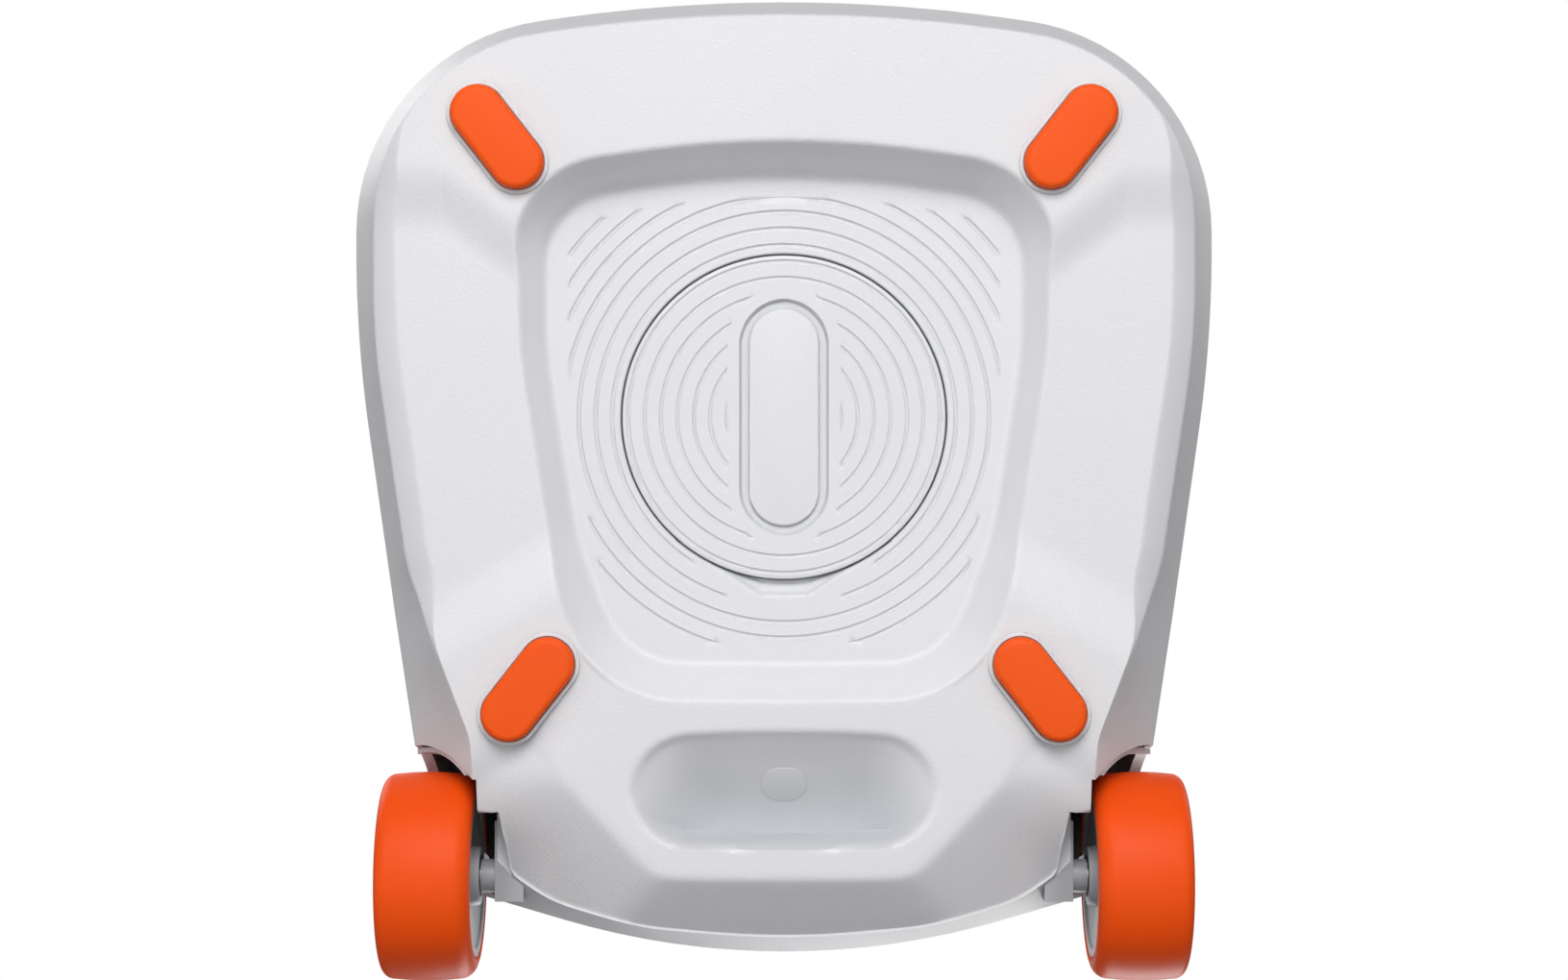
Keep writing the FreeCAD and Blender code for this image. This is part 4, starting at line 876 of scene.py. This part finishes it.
def insideGrille(x, z, margin):
    middle, half = (grille["low"] + grille["high"]) / 2, (grille["high"] - grille["low"]) / 2
    corner = grille["corner"]
    dx = np.abs(x) - (grille["half"] - corner)
    dz = np.abs(z - middle) - (half - corner)
    out = np.hypot(np.maximum(dx, 0), np.maximum(dz, 0)) + np.minimum(np.maximum(dx, dz), 0)
    return corner - out > margin


def inGrille(sheet, margin):
    # tells whether all of a face's corners lie that far inside the grille's outline
    spots = np.array([vertex.co for vertex in sheet.data.vertices]) * 1000
    inside = insideGrille(spots[:, 0], spots[:, 2], margin)
    return lambda face: all(inside[i] for i in face.vertices)


def buildGrille():
    pitch = grille["pitch"]
    cell = pitch / math.sqrt(3)
    clearSelection()
    bpy.ops.mesh.primitive_circle_add(vertices=6, radius=cell / 1000, fill_type="NGON", location=(0, 0, 0))
    sheet = bpy.context.object
    bpy.ops.object.mode_set(mode="EDIT")
    bpy.ops.mesh.select_all(action="SELECT")
    bpy.ops.mesh.duplicate_move(TRANSFORM_OT_translate={"value": (pitch / 2000, 1.5 * cell / 1000, 0)})
    bpy.ops.object.mode_set(mode="OBJECT")
    across, up = int(2 * grille["half"] / pitch) + 2, int((grille["high"] - grille["low"]) / (3 * cell)) + 2
    applyModifier(sheet, "ARRAY", count=across, use_relative_offset=False, use_constant_offset=True,
                  constant_offset_displace=(pitch / 1000, 0, 0))
    applyModifier(sheet, "ARRAY", count=up, use_relative_offset=False, use_constant_offset=True,
                  constant_offset_displace=(0, 3 * cell / 1000, 0))
    choose(sheet)
    bpy.ops.object.mode_set(mode="EDIT")
    bpy.ops.mesh.select_all(action="SELECT")
    bpy.ops.mesh.remove_doubles(threshold=0.0001)
    bpy.ops.object.mode_set(mode="OBJECT")
    shiftX = -(across - 0.5) * pitch / 2
    shiftZ = (grille["low"] + grille["high"]) / 2 - (up - 0.5) * 1.5 * cell
    for vertex in sheet.data.vertices:
        vertex.co = (vertex.co.x + shiftX / 1000, 0, vertex.co.y + shiftZ / 1000)
    kept = inGrille(sheet, 0.0)
    selectFaces(sheet, lambda face: not kept(face))
    bpy.ops.mesh.delete(type="FACE")
    bpy.ops.object.mode_set(mode="OBJECT")
    selectFaces(sheet, inGrille(sheet, grille["border"]))
    bpy.ops.mesh.inset(thickness=grille["web"] / 2000, use_individual=True, use_even_offset=True)
    bpy.ops.mesh.delete(type="ONLY_FACE")
    bpy.ops.object.mode_set(mode="OBJECT")
    bend = hullFront(np.array([vertex.co.x * 1000 for vertex in sheet.data.vertices]))
    for vertex, front in zip(sheet.data.vertices, bend):
        vertex.co.y = (front + grille["setBack"]) / 1000
    applyModifier(sheet, "SOLIDIFY", thickness=grille["thick"] / 1000, offset=0)
    faceOutwards(sheet)
    return sheet


grillePiece = buildGrille()
settle(grillePiece, "grille_sheet", 30)
finishPiece(grillePiece, materials["grilleMetal"], "cabinet", "grille_metal", "front_grille")
print("grille:", len(grillePiece.data.polygons), "faces")


# top controls: ribbed grip bands on the three knobs, and a plain tick scale round the volume knob

controls = {"volume_knob": dict(height=14.0, radius=25.0, low=1.4, high=8.2, sides=84),
            "mic_gain_knob": dict(height=12.5, radius=9.9, low=1.4, high=7.0, sides=40),
            "guitar_gain_knob": dict(height=12.5, radius=9.9, low=1.4, high=7.0, sides=40),
            "ribTaper": 0.0002, "ribDepth": 0.0006, "wall": 1.2,
            "tick": dict(inner=29.0, outer=33.5, width=1.0, thick=0.4, count=11, sweep=300)}


def knobPlace(name):
    # the knob's centre line and the deck's level under it, in millimetres
    low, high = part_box(name)
    return 500 * (low[0] + high[0]), 500 * (low[1] + high[1]), 1000 * high[2] - controls[name]["height"]


def gripBand(name):
    settings = controls[name]
    x, y, level = knobPlace(name)
    clearSelection()
    bpy.ops.mesh.primitive_cylinder_add(
        vertices=settings["sides"], radius=(settings["radius"] + 0.1) / 1000,
        depth=(settings["high"] - settings["low"]) / 1000,
        location=(x / 1000, y / 1000, (level + (settings["high"] + settings["low"]) / 2) / 1000))
    band = bpy.context.object
    around = [face for face in band.data.polygons if abs(face.normal.z) < 0.5]
    around.sort(key=lambda face: math.atan2(face.center.y, face.center.x))
    ribs = {face.index for face in around[::2]}
    selectFaces(band, lambda face: face.index in ribs)
    bpy.ops.mesh.inset(thickness=controls["ribTaper"], depth=controls["ribDepth"], use_individual=True)
    bpy.ops.object.mode_set(mode="OBJECT")
    clearSelection()
    bpy.ops.mesh.primitive_cylinder_add(
        vertices=settings["sides"], radius=(settings["radius"] - controls["wall"]) / 1000,
        depth=0.04, location=band.location)
    carve(band, bpy.context.object)
    settle(band, f"{name}_band", 30)
    return finishPiece(band, materials["blackRubber"], name, "black_rubber")


def tickScale():
    tick = controls["tick"]
    x, y, level = knobPlace("volume_knob")
    marks = []
    for k in range(tick["count"]):
        clearSelection()
        turn = math.radians(tick["sweep"] * (k / (tick["count"] - 1) - 0.5))
        reach = (tick["inner"] + tick["outer"]) / 2000
        bpy.ops.mesh.primitive_cube_add(
            size=1, rotation=(0, 0, turn),
            location=(x / 1000 + reach * math.sin(turn), y / 1000 - reach * math.cos(turn), level / 1000))
        mark = bpy.context.object
        mark.scale = (tick["width"] / 1000, (tick["outer"] - tick["inner"]) / 1000, 2 * tick["thick"] / 1000)
        settle(mark, f"volume_tick_{k}", 30)
        applyModifier(mark, "BEVEL", width=0.00015, segments=2)
        marks.append(mark)
    choose(*marks)
    bpy.ops.object.join()
    return finishPiece(settle(marks[0], "volume_scale", 30), materials["capWhite"], "cabinet", "cap_white")


for name in ("volume_knob", "mic_gain_knob", "guitar_gain_knob"):
    gripBand(name)
tickScale()
print("knob bands and scale made")


# floor, lights and camera

stage = {"floorSize": 40.0, "floorHeight": -0.0006, "floorTone": 0.45, "floorGlow": 0.58,
         "cameraDepth": 1.1, "focal": 67.8088, "white": 1.0, "ambient": 0.17}

# each soft light's place, what it points at, size and power
lamps = {
    "under_front": ((0, -1.45, -1.85), (0, 0, 0.03), (1.5, 1.0), 39),
    "under_wide": ((0, -0.1, -2.2), (0, 0, 0.03), (2.4, 1.8), 15),
    "low_left": ((-2.2, 0.2, -0.6), (0, 0, 0.1), (1.0, 1.0), 6),
    "low_right": ((2.2, -0.2, -0.6), (0, 0, 0.1), (1.0, 1.0), 2),
    "high_left": ((-2.2, -1.6, 2.6), (0, 0, 0.3), (1.6, 1.6), 34),
    "high_right": ((2.6, -1.0, 2.2), (0, 0, 0.3), (1.4, 1.4), 14),
    "high_back": ((0.6, 2.6, 2.3), (0, 0, 0.35), (1.8, 1.2), 50),
    "high_over": ((0, 0, 3.2), (0, 0, 0.3), (2.4, 2.4), 26),
}


def makeFloor():
    clearSelection()
    bpy.ops.mesh.primitive_plane_add(size=stage["floorSize"], location=(0, 0, stage["floorHeight"]))
    floor = bpy.context.object
    floor.name = "studio_floor"
    paper = bpy.data.materials.new("studioPaper")
    paper.use_nodes = True
    add, link = paper.node_tree.nodes.new, paper.node_tree.links.new
    shader = paper.node_tree.nodes["Principled BSDF"]
    shader.inputs["Base Color"].default_value = (*[stage["floorTone"]] * 3, 1)
    shader.inputs["Roughness"].default_value = 0.9
    shader.inputs["Emission Color"].default_value = (1, 1, 1, 1)
    shader.inputs["Emission Strength"].default_value = stage["floorGlow"]
    clear = add("ShaderNodeBsdfTransparent")
    seen = add("ShaderNodeNewGeometry")
    both = add("ShaderNodeMixShader")
    link(seen.outputs["Backfacing"], both.inputs[0])
    link(shader.outputs[0], both.inputs[1])
    link(clear.outputs[0], both.inputs[2])
    link(both.outputs[0], paper.node_tree.nodes["Material Output"].inputs["Surface"])
    floor.data.materials.append(paper)
    floor.visible_shadow = False
    floor.visible_diffuse = False
    floor.visible_glossy = False


def softLight(name, place, target, size, power):
    data = bpy.data.lights.new(name, "AREA")
    data.shape = "RECTANGLE"
    data.size, data.size_y = size
    data.energy = power
    lamp = bpy.data.objects.new(name, data)
    bpy.context.scene.collection.objects.link(lamp)
    lamp.location = place
    lamp.rotation_euler = (Vector(target) - Vector(place)).to_track_quat("-Z", "Y").to_euler()
    return lamp


def makeWorld():
    world = bpy.data.worlds.new("studioWorld")
    bpy.context.scene.world = world
    world.use_nodes = True
    tree = world.node_tree
    add, link = tree.nodes.new, tree.links.new
    backdrop = tree.nodes["Background"]
    backdrop.inputs["Color"].default_value = (1, 1, 1, 1)
    backdrop.inputs["Strength"].default_value = stage["white"]
    ambient = add("ShaderNodeBackground")
    ambient.inputs["Color"].default_value = (0.93, 0.96, 1.0, 1)
    ambient.inputs["Strength"].default_value = stage["ambient"]
    path = add("ShaderNodeLightPath")
    both = add("ShaderNodeMixShader")
    link(path.outputs["Is Camera Ray"], both.inputs[0])
    link(ambient.outputs[0], both.inputs[1])
    link(backdrop.outputs[0], both.inputs[2])
    link(both.outputs[0], tree.nodes["World Output"].inputs["Surface"])


makeFloor()
makeWorld()
for name, (place, target, size, power) in lamps.items():
    softLight(name, place, target, size, power)

lens = bpy.data.cameras.new("studio_camera")
lens.lens = stage["focal"]
lens.sensor_width = 36
camera = bpy.data.objects.new("studio_camera", lens)
bpy.context.scene.collection.objects.link(camera)
camera.location = (0, 0.001, -stage["cameraDepth"])
camera.rotation_euler = (math.pi, 0, 0)
bpy.context.scene.camera = camera
bpy.context.scene.view_settings.view_transform = "Standard"
print("stage set")
